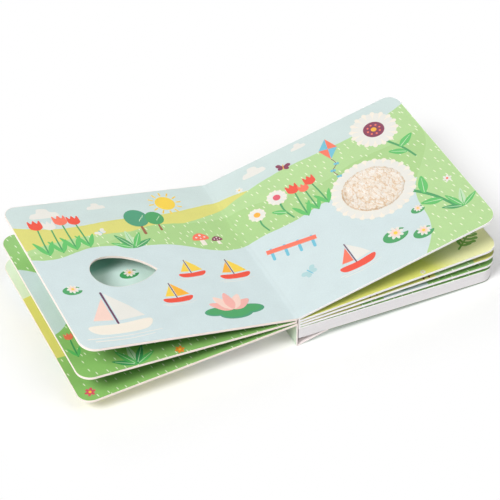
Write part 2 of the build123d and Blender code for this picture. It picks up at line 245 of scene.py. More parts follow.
class Finish(Wiring):
    # one material; place is the object's own coordinates

    def __init__(self, name, roughness, **constants):
        self.material = bpy.data.materials.new(name)
        self.material.use_nodes = True
        super().__init__(self.material.node_tree)
        self.shader = self.tree.nodes["Principled BSDF"]
        self.shader.inputs["Roughness"].default_value = roughness
        for socketName, value in constants.items():
            self.shader.inputs[socketName.replace("_", " ")].default_value = value
        self.place = self.node("ShaderNodeTexCoord", {}, {}, "Object")

    def feed(self, socketName, wire):
        self.join(wire, self.shader.inputs[socketName])

    def bump(self, height, strength, distance):
        self.feed("Normal", self.node("ShaderNodeBump", {}, {
            "Strength": strength, "Distance": distance, "Height": height}, "Normal"))

    def shade(self, colour, amount):
        # colour made lighter and darker by a wire that runs from 0 to 1
        level = amount + 0.5
        grey = self.node("ShaderNodeCombineColor", {}, {0: level, 1: level, 2: level})
        return self.blend(1.0, colour, grey, "MULTIPLY")

    def mottle(self, colour, pattern, depth):
        # the base colour, uneven by depth as the pattern goes
        self.feed("Base Color", self.shade(colour, 0.5 + (pattern - 0.5) * depth))


# ink on board: broad unevenness, a fine stipple and a soft varnish skin
inkSkin = {
    "roughness": 0.42, "roughLow": 0.36, "roughSpread": 0.12, "varnish": 0.12, "varnishRoughness": 0.25,
    "broadScale": 55.0, "broadDepth": 0.10, "stippleScale": 1500.0, "stippleDepth": 0.22,
    "reliefScale": 420.0, "reliefStrength": 0.10, "reliefDepth": 0.00025,
}


def inkFinish(name):
    return Finish(name, inkSkin["roughness"], Coat_Weight=inkSkin["varnish"],
                  Coat_Roughness=inkSkin["varnishRoughness"])


def printGrain(finish, colour, strength=1.0):
    broad = finish.noise(finish.place, inkSkin["broadScale"], 2.0)
    stipple = finish.noise(finish.place, inkSkin["stippleScale"], 2.0, 0.7)
    amount = (0.5 + (broad - 0.5) * (inkSkin["broadDepth"] * strength)
              + (stipple - 0.5) * (inkSkin["stippleDepth"] * strength))
    finish.feed("Base Color", finish.shade(colour, amount))
    finish.feed("Roughness", inkSkin["roughLow"] + broad * inkSkin["roughSpread"])
    finish.bump(finish.noise(finish.place, inkSkin["reliefScale"], 3.0), inkSkin["reliefStrength"],
                inkSkin["reliefDepth"])


# Printed fields

inks = {
    "sky": (206, 222, 219), "skyPale": (222, 232, 230), "hill": (220, 216, 118),
    "farMeadow": (179, 215, 147), "meadow": (170, 209, 136), "nearMeadow": (144, 196, 108),
    "water": (209, 224, 225), "waterDeep": (212, 234, 228), "lime": (236, 234, 122),
    "limePaintedLight": (251, 248, 188), "backMeadow": (84, 134, 72), "mint": (214, 232, 212),
    "mintDeep": (168, 200, 172), "fleck": (244, 248, 222), "peekWindowPaintedShadow": (120, 172, 158),
}
# short pale strokes, one to a cell, in millimetres
flecks = {"cellWidth": 7.6, "cellHeight": 8.4, "drift": 0.012, "scatter": 0.8, "lean": 0.22,
          "halfWidth": 0.55, "halfLength": 1.8, "crispness": 1.6, "strength": 0.85}
# lineEdge is per millimetre and ovalSoftness in millimetres; paintedSpreadLight is painted light:
# how much lighter the left and the right page of the open spread are coloured, for the light each page gets
fieldLook = {"lineEdge": 4.0, "ovalSoftness": 0.5, "wobbleScale": 11.0, "wobble": 1.2, "gutterBlend": 3.0,
             "paintedSpreadLight": (0.085, -0.045)}
uvScale = 100.0     # the sheets' own map counts in decimetres


def inkColour(name):
    return linear(*inks[name])


def fieldLine(x, base, slope, waves):
    line = base + x * slope
    for height, length, phase in waves:
        line = line + (x / length + phase).sine() * height
    return line


def fleckStrokes(finish, x, y):
    wide, high = flecks["cellWidth"], flecks["cellHeight"]
    cell = finish.node("ShaderNodeCombineXYZ", {}, {0: x / wide, 1: y / high + x * flecks["drift"]})
    spread = finish.node("ShaderNodeTexVoronoi", {"voronoi_dimensions": "2D"},
                         {"Vector": cell, "Scale": 1.0, "Randomness": flecks["scatter"]}, "Position")
    gap = finish.split(finish.node("ShaderNodeVectorMath", {"operation": "SUBTRACT"}, {0: cell, 1: spread}))
    along = gap.out(1) * high
    across = (gap * wide + along * flecks["lean"]) / flecks["halfWidth"]
    along = along / flecks["halfLength"]
    reach = across * across + along * along
    return ((1.0 - reach) * flecks["crispness"]).clamped() * flecks["strength"]


def pagePrint(name, ground, fields, paintedPageLight=None):
    # fields are laid over each other: each covers what lies below its line, or inside its oval
    finish = inkFinish(name)
    uv = finish.node("ShaderNodeUVMap", {"uv_map": "leafPlace"})
    parts = finish.split(uv)
    x = parts * uvScale
    y = parts.out(1) * uvScale + (finish.noise(uv, fieldLook["wobbleScale"]) - 0.5) * fieldLook["wobble"]
    colour = inkColour(ground)
    flecky = 0.0
    for field in fields:
        if "oval" in field:
            cx, cy, rx, ry = field["oval"]
            dx, dy = (x - cx) / rx, (y - cy) / ry
            softness = field.get("soft", fieldLook["ovalSoftness"])
            inside = (1.0 - (dx * dx + dy * dy)) * (min(rx, ry) / softness)
        elif "bank" in field:
            inside = (x - fieldLine(y, *field["bank"])) * fieldLook["lineEdge"]
        else:
            inside = (fieldLine(x, *field["line"]) - y) * fieldLook["lineEdge"]
        mask = (inside + 0.5).clamped()
        colour = finish.blend(mask, colour, inkColour(field["ink"]))
        flecky = flecky * (1.0 - mask) + mask * (1.0 if field.get("flecks") else 0.0)
    colour = finish.blend(fleckStrokes(finish, x, y) * flecky, colour, inkColour("fleck"))
    # painted light: the left page coloured lighter and the right darker, standing in for the light each page
    # gets
    if paintedPageLight:
        leftPaintedLight, rightPaintedLight = paintedPageLight
        onRight = (x / fieldLook["gutterBlend"] + 0.5).clamped()
        colour = finish.shade(colour, onRight * (rightPaintedLight - leftPaintedLight) + (0.5 + leftPaintedLight))
    printGrain(finish, colour)
    return finish.material


print("page prints")
pagePrints = {
    "spread": pagePrint("open_spread_print", "sky", [
        {"line": (56.0, -0.03, ((5.0, 38.0, 1.6), (2.0, 17.0, 1.0))), "ink": "hill"},
        {"line": (52.0, 0.12, ((5.0, 30.0, 0.0),)), "ink": "farMeadow", "flecks": True},
        {"line": (37.0, 0.03, ((8.0, 47.0, 2.4), (3.0, 15.0, 0.0))), "ink": "meadow", "flecks": True},
        {"line": (9.0, -0.10, ((6.5, 27.0, 5.2), (2.0, 11.0, 0.5))), "ink": "water"},
        {"bank": (158.0, 0.5, ((6.0, 14.0, 0.0),)), "ink": "farMeadow", "flecks": True},
    ], paintedPageLight=fieldLook["paintedSpreadLight"]),
    "secondLeft": pagePrint("second_left_print", "nearMeadow", [
        {"line": (140.0, 0.0, ((5.0, 26.0, 0.0),)), "ink": "nearMeadow", "flecks": True},
        {"oval": (-104.0, 20.0, 58.0, 44.0), "ink": "waterDeep"},
        # painted shadow: a soft darker oval under the peek window's far rim, where the leaf above shades this
        # page
        {"oval": (-124.0, 40.0, 32.0, 20.0), "ink": "peekWindowPaintedShadow", "soft": 17.0},
        {"oval": (-190.0, 6.0, 34.0, 42.0), "ink": "water"},
        {"line": (-50.0, -0.04, ((6.0, 24.0, 1.0),)), "ink": "nearMeadow", "flecks": True},
    ]),
    "coverInside": pagePrint("cover_inside_print", "mint", [
        {"line": (34.0, 0.0, ((6.0, 34.0, 0.0),)), "ink": "hill"},
        {"line": (-44.0, -0.03, ((5.0, 28.0, 2.0),)), "ink": "nearMeadow", "flecks": True},
        {"bank": (-146.0, 0.1, ((8.0, 30.0, 0.0),)), "ink": "nearMeadow", "flecks": True},
    ]),
    "secondRight": pagePrint("second_right_print", "hill", [
        {"line": (14.0, 0.05, ((9.0, 31.0, 0.0),)), "ink": "lime"},
        # painted light: a soft paler patch towards the right end and the near edge, where light reaches in
        # under the leaf above
        {"oval": (186.0, -40.0, 66.0, 74.0), "ink": "limePaintedLight", "soft": 40.0},
    ]),
    "thirdRight": pagePrint("third_right_print", "lime", [
        {"line": (-60.0, 0.0, ((8.0, 24.0, 1.0),)), "ink": "hill"},
        {"oval": (140.0, -80.0, 18.0, 26.0), "ink": "meadow", "flecks": True},
    ]),
    "fourthRight": pagePrint("fourth_right_print", "sky", [
        {"line": (40.0, 0.0, ((9.0, 33.0, 0.0),)), "ink": "nearMeadow", "flecks": True},
        {"oval": (96.0, -88.0, 20.0, 24.0), "ink": "water"},
        {"oval": (30.0, -90.0, 26.0, 20.0), "ink": "hill"},
    ]),
    "endPage": pagePrint("end_page_print", "nearMeadow", [
        {"line": (120.0, 0.0, ((3.0, 33.0, 0.0),)), "ink": "nearMeadow", "flecks": True},
        {"oval": (88.0, 0.0, 60.0, 50.0), "ink": "meadow", "flecks": True},
    ]),
    "meadowBack": pagePrint("meadow_back_print", "skyPale", [
        {"line": (12.0, 0.0, ((7.0, 31.0, 0.4), (2.5, 13.0, 1.0))), "ink": "farMeadow", "flecks": True},
        {"line": (-34.0, 0.02, ((7.0, 36.0, 2.0),)), "ink": "backMeadow", "flecks": True},
    ]),
    "limeBack": pagePrint("lime_back_print", "lime", [
        {"line": (16.0, 0.02, ((8.0, 30.0, 0.7),)), "ink": "hill"},
        {"line": (-34.0, 0.0, ((6.0, 25.0, 0.0),)), "ink": "backMeadow", "flecks": True},
    ]),
    "coverOutside": pagePrint("cover_outside_print", "sky", [
        {"line": (22.0, 0.0, ((10.0, 42.0, 0.0),)), "ink": "hill"},
        {"line": (2.0, 0.05, ((9.0, 36.0, 1.0),)), "ink": "meadow", "flecks": True},
        {"line": (-46.0, 0.0, ((6.0, 30.0, 2.0),)), "ink": "hill"},
        {"oval": (-48.0, -66.0, 44.0, 17.0), "ink": "water"},
    ]),
    "backOutside": pagePrint("back_outside_print", "mint", [
        {"oval": (120.0, -96.0, 92.0, 46.0), "ink": "mintDeep", "flecks": True},
    ]),
}


# Flat outlines, in millimetres on a page

def ellipse(x, y, rx, ry=None, steps=40):
    ry = rx if ry is None else ry
    angles = [2 * math.pi * step / steps for step in range(steps)]
    return [(x + rx * math.cos(a), y + ry * math.sin(a)) for a in angles]


def splinePoint(p0, p1, p2, p3, t):
    return 0.5 * ((2 * p1) + (p2 - p0) * t + (2 * p0 - 5 * p1 + 4 * p2 - p3) * t * t
                  + (3 * p1 - p0 - 3 * p2 + p3) * t * t * t)


def smooth(points, steps=7):
    # closed curve through the points
    result = []
    for i in range(len(points)):
        near = [Vector(points[(i + k) % len(points)]) for k in (-1, 0, 1, 2)]
        result += [tuple(splinePoint(*near, step / steps)) for step in range(steps)]
    return result


def stroke(points, startWidth, endWidth=None, steps=8):
    # a brush line through the points, with round ends
    endWidth = startWidth if endWidth is None else endWidth
    ends = [Vector(p) for p in (points[0], *points, points[-1])]
    path = [splinePoint(*ends[i:i + 4], step / steps)
            for i in range(len(points) - 1) for step in range(steps)]
    path.append(ends[-1])
    left, right = [], []
    for i, p in enumerate(path):
        along = (path[min(i + 1, len(path) - 1)] - path[max(i - 1, 0)]).normalized()
        across = Vector((-along.y, along.x))
        half = (startWidth + (endWidth - startWidth) * i / (len(path) - 1)) / 2
        left.append(p + across * half)
        right.append(p - across * half)
    capAngles = [math.pi * k / 6 for k in range(1, 6)]
    cap = [path[-1] + across * half * math.cos(a) + along * half * math.sin(a) for a in capAngles]
    along = (path[1] - path[0]).normalized()
    across = Vector((-along.y, along.x)) * (startWidth / 2)
    foot = [path[0] - across * math.cos(a) - along * (startWidth / 2) * math.sin(a) for a in capAngles]
    return [(p.x, p.y) for p in left + cap + right[::-1] + foot]


def toothed(x, y, rx, ry, teeth, depth):
    points = []
    for step in range(2 * teeth):
        a = math.pi * step / teeth
        grow = depth if step % 2 else 0.0
        points.append((x + (rx + grow) * math.cos(a), y + (ry + grow) * math.sin(a)))
    return points


def petals(x, y, radius, count, depth=0.35, turn=0.0):
    points = []
    steps = count * 8
    for step in range(steps):
        a = 2 * math.pi * step / steps
        r = radius * (1 - depth + depth * abs(math.cos(count * a / 2)))
        points.append((x + r * math.cos(a + turn), y + r * math.sin(a + turn)))
    return points


def blade(length, shoulders, tip=1.0):
    # a leaf from its root to its tip, with its half width and height at each shoulder
    right = [(length * wide, length * high) for wide, high in shoulders]
    return smooth([(0, 0), *right, (0, length * tip), *((-px, py) for px, py in reversed(right))])


def moved(outline, x, y, scale=1.0, turn=0.0, mirrored=False):
    c, s = math.cos(math.radians(turn)), math.sin(math.radians(turn))
    side = -1 if mirrored else 1
    return [(x + scale * (side * px * c - py * s), y + scale * (side * px * s + py * c))
            for px, py in outline]


def signedArea(loop):
    return 0.5 * sum(a[0] * b[1] - b[0] * a[1] for a, b in zip(loop, loop[1:] + loop[:1]))


def withoutMidpoints(outline):
    # points in line with both neighbours would leave slivers without an area
    loop = list(outline)
    return [point for before, point, after in zip(loop[-1:] + loop[:-1], loop, loop[1:] + loop[:1])
            if abs(signedArea([before, point, after])) > 1e-7]


class Plates:
    # thin closed plates laid on one surface

    def __init__(self, surface):
        self.surface = surface
        self.points, self.faces, self.places, self.tones = [], [], [], []

    def addFaces(self, faces, tone):
        self.faces += [face[::-1] if self.surface["flipped"] else face for face in faces]
        self.tones += [tone] * len(faces)

    def add(self, outline, low, high, tone=(1, 1, 1, 1), holes=()):
        loops = [withoutMidpoints(loop) for loop in (outline, *holes)]
        for k, loop in enumerate(loops):
            if (signedArea(loop) > 0) != (k == 0):
                loop.reverse()
        flat = [p for loop in loops for p in loop]
        base, count = len(self.points), len(flat)
        for out in (high, low):
            self.points += [self.surface["place"](x, y, out) for x, y in flat]
        self.places += flat + flat
        made = []
        for a, b, c in tessellate_polygon([[Vector((x, y, 0)) for x, y in loop] for loop in loops]):
            if signedArea([flat[a], flat[b], flat[c]]) < 0:
                b, c = c, b
            made += [(a, b, c), (a + count, c + count, b + count)]
        start = 0
        for loop in loops:
            n = len(loop)
            for i in range(n):
                j = (i + 1) % n
                made.append((start + i + count, start + j + count, start + j, start + i))
            start += n
        self.addFaces([tuple(base + k for k in face) for face in made], tone)

    def addBand(self, stations, halfWidth, low, high, tone=(1, 1, 1, 1)):
        # one closed band that bends at each station
        base, place = len(self.points), self.surface["place"]
        ring = ((-halfWidth, low), (halfWidth, low), (halfWidth, high), (-halfWidth, high))
        for x in stations:
            self.points += [place(x, y, out) for y, out in ring]
            self.places += [(x, y) for y, out in ring]
        last = base + 4 * (len(stations) - 1)
        made = [(base + 3, base + 2, base + 1, base), (last, last + 1, last + 2, last + 3)]
        for near in range(base, last, 4):
            for i in range(4):
                j = (i + 1) % 4
                made.append((near + i, near + j, near + j + 4, near + i + 4))
        self.addFaces(made, tone)

    def build(self, name, material, slotName, body):
        mesh = bpy.data.meshes.new(name)
        mesh.from_pydata(self.points, [], self.faces)
        layer = mesh.uv_layers.new(name="leafPlace")
        for loop in mesh.loops:
            x, y = self.places[loop.vertex_index]
            layer.data[loop.index].uv = (x / uvScale, y / uvScale)
        ink = mesh.color_attributes.new("ink", "FLOAT_COLOR", "CORNER")
        for polygon in mesh.polygons:
            for index in polygon.loop_indices:
                ink.data[index].color = self.tones[polygon.index]
        mesh.materials.append(material)
        made = addObject(name, mesh)
        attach(made, body)


# Page sheets

sheet = {"inset": 0.35, "thickness": 0.06, "sunk": 0.03, "levelStep": 0.04, "layStep": 0.0004,
         "foldReach": 4.0, "foldSteps": 12, "innerGap": 2.0, "endGap": 1.2, "coverGap": 0.6,
         "holeMargin": 0.25, "fleeceMargin": 0.2, "moduleMargin": 0.3, "creaseMargin": 1.3,
         "spineMargin": 0.75, "heelSteps": 8, "cornerSteps": 12, "roundSteps": 28, "arcSteps": 14}
# the peek-through window, a drop with its tip towards the gutter
peek = {"reach": 121.3, "y": -4.25, "radius": 18.65, "tipReach": 85.3, "tipY": -8.0, "tipRadius": 1.2}
sheetTop, sheetLow = sheet["thickness"], -sheet["sunk"]
sheetHalf = book["pageHeight"] / 2 - sheet["inset"]
foldReach = sheet["foldReach"]


def roundCorner(cx, cy, radius, start, steps):
    # a quarter circle, from its start in degrees
    angles = [math.radians(start + 90 * step / steps) for step in range(steps + 1)]
    return [(cx + radius * math.cos(a), cy + radius * math.sin(a)) for a in angles]


def pageOutline(side, inner, length):
    corner = book["cornerRadius"] - sheet["inset"]
    far = length - sheet["inset"]
    points = [(inner, -sheetHalf)]
    for cy, start in ((-sheetHalf + corner, -90), (sheetHalf - corner, 0)):
        points += roundCorner(far - corner, cy, corner, start, sheet["cornerSteps"])
    points.append((inner, sheetHalf))
    return [(side * x, y) for x, y in points]


def roundedBox(x, y, length, width, corner):
    points = []
    for sx, sy, start in ((1, -1, -90), (1, 1, 0), (-1, 1, 90), (-1, -1, 180)):
        points += roundCorner(x + sx * (length / 2 - corner), y + sy * (width / 2 - corner), corner, start, 5)
    return points


def peekOutline(grow):
    # a half circle, and from its ends two arcs that meet at the rounded tip
    cx, cy, radius = -peek["reach"], peek["y"], peek["radius"] + grow
    angles = [math.radians(90 + 180 * k / sheet["roundSteps"]) for k in range(sheet["roundSteps"] + 1)]
    points = [(cx + radius * math.cos(a), cy + radius * math.sin(a)) for a in angles]
    tip = Vector((-peek["tipReach"] + grow, peek["tipY"]))
    arcs, headings = [], []
    for sign in (-1, 1):
        start = Vector((cx, cy + sign * radius))
        run, drop = tip.x - start.x, abs(tip.y - start.y)
        arcRadius = (run * run + drop * drop) / (2 * drop)
        sweep = math.asin(run / arcRadius)
        turns = [sweep * k / sheet["arcSteps"] for k in range(1, sheet["arcSteps"])]
        arcs.append([(start.x + arcRadius * math.sin(a), start.y - sign * arcRadius * (1 - math.cos(a)))
                     for a in turns])
        headings.append(Vector((math.cos(sweep), -sign * math.sin(sweep))))
    inward = -(headings[0] + headings[1]).normalized()
    halfAngle = headings[0].angle(headings[1]) / 2
    setback = peek["tipRadius"] / math.tan(halfAngle)
    apex = tip + inward * (peek["tipRadius"] / math.sin(halfAngle) - peek["tipRadius"])
    nose = [tip - headings[0] * setback, apex, tip - headings[1] * setback]
    return points + arcs[0] + [(p.x, p.y) for p in nose] + arcs[1][::-1]


def spreadPoint(x, y, out):
    # the open spread's upper ply bends softly across the gutter
    leftPlace, rightPlace = surfaces["left1Top"]["place"], surfaces["right1Top"]["place"]
    t = (x + foldReach) / (2 * foldReach)
    middle = (leftPlace(0.0, y, out) + rightPlace(0.0, y, out)) / 2
    return (leftPlace(-foldReach, y, out) * (1 - t) ** 2 + middle * 2 * t * (1 - t)
            + rightPlace(foldReach, y, out) * t * t)


def gutterFold():
    # a closed strip between the two pages: curved above, on the boards below
    mesh = bmesh.new()
    uvLayer = mesh.loops.layers.uv.new("leafPlace")
    rows = []
    for k in range(sheet["foldSteps"] + 1):
        x = -foldReach + 2 * foldReach * k / sheet["foldSteps"]
        under = surfaces["left1Top" if x < 0 else "right1Top"]["place"]
        rows.append([{"top": mesh.verts.new(spreadPoint(x, y, sheetTop)),
                      "low": mesh.verts.new(under(x, y, sheetLow)),
                      "soft": mesh.verts.new(spreadPoint(x, y, sheetTop)),     # the shaded curve's own points
                      "uv": (x / uvScale, y / uvScale)} for y in (-sheetHalf, sheetHalf)])

    def face(*corners, smoothed=False):
        made = mesh.faces.new([corner[level] for corner, level in corners])
        made.smooth = smoothed
        for loop, (corner, level) in zip(made.loops, corners):
            loop[uvLayer].uv = corner["uv"]

    for (a, b), (c, d) in zip(rows, rows[1:]):
        face((a, "soft"), (c, "soft"), (d, "soft"), (b, "soft"), smoothed=True)
        face((b, "low"), (d, "low"), (c, "low"), (a, "low"))
        face((a, "low"), (c, "low"), (c, "top"), (a, "top"))
        face((d, "low"), (b, "low"), (b, "top"), (d, "top"))
    for a, b in (rows[0], rows[-1][::-1]):
        face((b, "low"), (a, "low"), (a, "top"), (b, "top"))
    made = addObject("gutter_fold_sheet", meshFrom(mesh, "gutter_fold_sheet", pagePrints["spread"]))
    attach(made, "book")


print("page sheets")
gutterFold()
peekHole = peekOutline(sheet["holeMargin"])
fleeceHole = ellipse(fleece["reach"], fleece["y"], fleece["long"] / 2 + sheet["fleeceMargin"],
                     fleece["wide"] / 2 + sheet["fleeceMargin"], 72)
for surfaceName, printName, inner, holes in (
        ("left1Top", "spread", foldReach, [peekHole]),
        ("right1Top", "spread", foldReach, [fleeceHole]),
        ("left1Under", "meadowBack", sheet["innerGap"], [peekHole]),
        ("right1Under", "limeBack", sheet["innerGap"], []),
        ("left2Top", "secondLeft", sheet["innerGap"], []),
        ("left2Under", "limeBack", sheet["innerGap"], []),
        ("right2Top", "secondRight", sheet["innerGap"], []),
        ("right2Under", "meadowBack", sheet["innerGap"], []),
        ("right3Top", "thirdRight", sheet["innerGap"], []),
        ("right3Under", "limeBack", sheet["innerGap"], []),
        ("right4Top", "fourthRight", sheet["innerGap"], []),
        ("right4Under", "meadowBack", sheet["innerGap"], []),
        ("endPage", "endPage", sheet["endGap"], [])):
    length = book["blockLength"] if surfaceName == "endPage" else book["pageWidth"]
    plates = Plates(surfaces[surfaceName])
    plates.add(pageOutline(surfaces[surfaceName]["side"], inner, length), sheetLow, sheetTop, holes=holes)
    plates.build(f"{surfaceName}_sheet", pagePrints[printName], "page_board", "book")
# the outer print starts clear of the crease, so that the cover can swing down beside the spine
creaseReach = (book["gutterX"] + book["coverCard"] / 2) / math.cos(coverAngle)
for surfaceName, inner in (("coverInside", sheet["coverGap"]),
                           ("coverOutside", creaseReach + sheet["creaseMargin"])):
    plates = Plates(surfaces[surfaceName])
    plates.add(pageOutline(-1, inner, book["pageWidth"]), sheetLow, sheetTop)
    plates.build(f"{surfaceName}_sheet", pagePrints[surfaceName], "cover_board", "front_cover")

# the wrap-round cover's outer print: spine, heel, free strip, then the panel with the module's opening
card = book["coverCard"]
heel = (card / 2, card)
scoreU = (book["stripReach"] - blockX) / math.cos(tilt)
score = (blockX + scoreU * math.cos(tilt), blockZ - scoreU * math.sin(tilt))
run = math.hypot(score[0] - heel[0], score[1] - heel[1])
stripAngle = math.atan2(score[1] - heel[1], score[0] - heel[0]) + math.asin(card / run)
hingeX = -card / 2
hingeZ = coverHeight + (book["gutterX"] - hingeX) * math.tan(coverAngle) - halfLeaf / math.cos(coverAngle)
spineTop = hingeZ - book["creaseClearance"] - sheet["spineMargin"]
wrapDown = spineTop - heel[1]
wrapTurn = math.pi / 2 + stripAngle
wrapBend = wrapTurn * card
wrapRun = math.sqrt(run * run - card * card)


def wrapPlace(distance, y, out):
    # distance along the cover's outer face, down the spine, round the heel and up the strip
    if distance <= wrapDown:
        px, pz = hingeX - out, spineTop - distance
    else:
        turned = min((distance - wrapDown) / card, wrapTurn)
        rest = max(distance - wrapDown - wrapBend, 0.0)
        nx, nz = math.cos(math.pi + turned), math.sin(math.pi + turned)
        px = heel[0] + (card + out) * nx - rest * nz
        pz = heel[1] + (card + out) * nz + rest * nx
    return Vector(((px + originShift) * mm, y * mm, pz * mm))


heelStations = [wrapDown + wrapBend * k / sheet["heelSteps"] for k in range(sheet["heelSteps"] + 1)]
stations = [0.0, *heelStations, wrapDown + wrapBend + wrapRun]
plates = Plates({"place": wrapPlace, "flipped": True, "side": 1})
plates.addBand(stations, sheetHalf, sheetLow, sheetTop)
plates.build("spine_wrap_sheet", pagePrints["backOutside"], "cover_card", "book")
plates = Plates(surfaces["backOutside"])
margin = sheet["moduleMargin"]
moduleHole = roundedBox(book["moduleReach"], 0, book["moduleLength"] + 2 * margin,
                        book["moduleWidth"] + 2 * margin, book["moduleCorner"] + margin)
plates.add(pageOutline(1, scoreU, book["blockLength"]), sheetLow, sheetTop, holes=[moduleHole])
plates.build("back_panel_sheet", pagePrints["backOutside"], "cover_card", "book")


# Printed pictures

tones = {
    "white": (234, 232, 224), "cream": (244, 236, 221), "blush": (248, 212, 198), "pink": (243, 178, 168),
    "yellow": (252, 210, 70), "gold": (247, 178, 44), "orange": (247, 142, 48), "red": (236, 74, 48),
    "coral": (247, 116, 88), "rose": (222, 84, 104), "plum": (124, 32, 70), "plumDark": (92, 46, 80),
    "leaf": (92, 190, 98), "leafDeep": (64, 156, 90), "blade": (196, 224, 186), "teal": (66, 150, 112),
    "moss": (98, 122, 76), "brown": (150, 88, 58), "blue": (108, 190, 212), "ghost": (176, 212, 214),
    "fern": (120, 172, 60),
}


class Picture:
    # flat motifs printed on one page

    def __init__(self, surfaceName, lighter=0.0):
        self.plates = Plates(surfaces[surfaceName])
        self.count = 0
        # painted light: the page's pictures are made lighter or darker by the same share as its fields
        self.level = 1.0 + lighter

    def add(self, outline, tone, level=1):
        # later shapes reach a hair above earlier ones of their level, and a hair deeper, so that none
        # share an edge
        self.count += 1
        top = sheetTop + sheet["levelStep"] * level + sheet["layStep"] * self.count
        low = -sheet["layStep"] / 4 * self.count
        ink = [min(1.0, part * self.level) for part in linear(*tones[tone])[:3]] + [1.0]
        self.plates.add(outline, low, top, ink)

    def put(self, outline, at, tone, level=1):
        # at is where the outline goes, then its scale and its turn
        self.add(moved(outline, *at), tone, level)

    def line(self, points, tone, startWidth, endWidth=None, level=1):
        self.add(stroke(points, startWidth, endWidth), tone, level)

    def dot(self, x, y, radius, tone, steps=24, level=1):
        self.add(ellipse(x, y, radius, steps=steps), tone, level)

    def sun(self, x, y, r):
        for k in range(12):
            across, up = math.cos(math.pi * k / 6), math.sin(math.pi * k / 6)
            self.line([(x + reach * r * across, y + reach * r * up) for reach in (1.22, 1.6)],
                      "yellow", 0.16 * r)
        self.dot(x, y, r, "yellow", 40)

    def cloud(self, x, y, size):
        self.put(smooth([(-10, -3), (-8, 1), (-4, 2), (-2, 6), (4, 5.5), (6, 2), (10, 1), (11, -3),
                         (5, -4), (-5, -4)]), (x, y, size / 20), "white")

    def roundTree(self, x, y, height, crown="teal"):
        w = height * 0.34
        self.line([(x, y), (x + 0.4, y + height * 0.55)], "brown", height * 0.09, height * 0.05)
        self.add(ellipse(x, y + height * 0.66, w, height * 0.36), crown, 2)
        for k in range(3):
            low = (x + w * (0.1 + 0.2 * k), y + height * (0.52 + 0.07 * k))
            high = (x + w * (0.24 + 0.2 * k), y + height * (0.6 + 0.07 * k))
            self.line([low, high], "blade", height * 0.02, level=3)

    def tulip(self, x, y, height, bloom, lean=0.0):
        self.line([(x, y), (x + lean * 0.3, y + height * 0.5), (x + lean, y + height)], "leafDeep", 1.5, 1.2)
        for side in (-1, 1):
            self.add(smooth([(x, y), (x + side * height * 0.16, y + height * 0.16),
                             (x + side * height * 0.26, y + height * 0.5),
                             (x + side * height * 0.08, y + height * 0.3)]), "leaf", 2)
        size = height * 0.17
        self.put(smooth([(0, -1), (0.9, -0.55), (1, 0.3), (0.85, 1.15), (0.42, 0.5), (0, 1.2),
                         (-0.42, 0.5), (-0.85, 1.15), (-1, 0.3), (-0.9, -0.55)], 4),
                 (x + lean, y + height + size * 0.7, size), bloom, 3)

    def ribbedLeaf(self, outline, at, ribStart, ribEnd, tone, level, ribLevel):
        self.put(outline, at, tone, level)
        self.put(stroke([(0, ribStart), (0, ribEnd)], 0.7, 0.3), at, "leaf" if tone == "blade" else "blade",
                 ribLevel)

    def leafClump(self, x, y, size, leafTones):
        # broad leaves fanned from one root
        for k, tone in enumerate(leafTones):
            turn = 62 - 124 * k / (len(leafTones) - 1)
            length = size * (0.78 + 0.22 * math.cos(math.radians(turn)))
            self.ribbedLeaf(blade(length, ((0.13, 0.42), (0.07, 0.82))), (x, y, 1, turn),
                            length * 0.12, length * 0.86, tone, 1 + k % 2, 3)

    def stem(self, points, leaves=(), width=3.0):
        self.line(points, "leafDeep", width, width * 0.8)
        for x, y, length, turn in leaves:
            self.ribbedLeaf(blade(length, ((0.2, 0.4), (0.1, 0.85))), (x, y, 1, turn),
                            length * 0.1, length * 0.85, "leaf", 1, 2)

    def toadstool(self, x, y, size, cap="coral"):
        at = (x, y, size)
        self.put(smooth([(-0.14, 0), (-0.1, 0.6), (0.1, 0.6), (0.16, 0), (0, -0.04)]), at, "cream")
        self.put(smooth([(-0.5, 0.5), (-0.36, 0.86), (0, 1.04), (0.36, 0.86), (0.5, 0.5), (0, 0.42)]),
                 at, cap, 2)
        for dx, dy, r in ((-0.24, 0.68, 0.07), (0.04, 0.84, 0.08), (0.27, 0.66, 0.06), (0.0, 0.58, 0.05)):
            self.dot(x + dx * size, y + dy * size, r * size, "white", 18, 3)

    def boat(self, x, y, size, sail, hull, second=None):
        at = (x, y, size)
        self.put(smooth([(-0.5, 0), (-0.36, -0.2), (0.34, -0.2), (0.52, 0.02), (0, -0.015)]), at, hull)
        self.put(stroke([(-0.02, 0), (-0.02, 0.72)], 0.035), at, "plumDark", 2)
        self.put([(0.02, 0.06), (0.46, 0.1), (0.3, 0.36), (0.02, 0.7)], at, sail, 2)
        self.put([(-0.06, 0.08), (-0.06, 0.6), (-0.38, 0.12)], at, second or sail, 2)
        for k in range(2):
            self.put(stroke([(-0.62 + 0.1 * k, -0.26 - 0.07 * k), (0, -0.29 - 0.07 * k),
                             (0.6 - 0.15 * k, -0.25 - 0.07 * k)], 0.02, 0.008), at, "white")

    def lotus(self, x, y, size, bloom="pink"):
        # a flower seen from the side over its pads
        for dx, dy, r in ((-0.42, -0.02, 0.36), (0.4, -0.06, 0.4), (0.0, -0.16, 0.44)):
            self.add(ellipse(x + dx * size, y + dy * size, r * size, r * size * 0.42, 32), "teal")
            self.add(ellipse(x + dx * size, y + (dy + 0.015) * size, r * size * 0.84, r * size * 0.32, 32),
                     "leafDeep", 2)
        petal = blade(1, ((0.13, 0.2), (0.09, 0.46)), 0.6)
        for turn, tone, level in ((62, bloom, 3), (-62, bloom, 3), (34, "blush", 4), (-34, "blush", 4),
                                  (0, bloom, 5)):
            self.put(petal, (x, y, size, turn), tone, level)

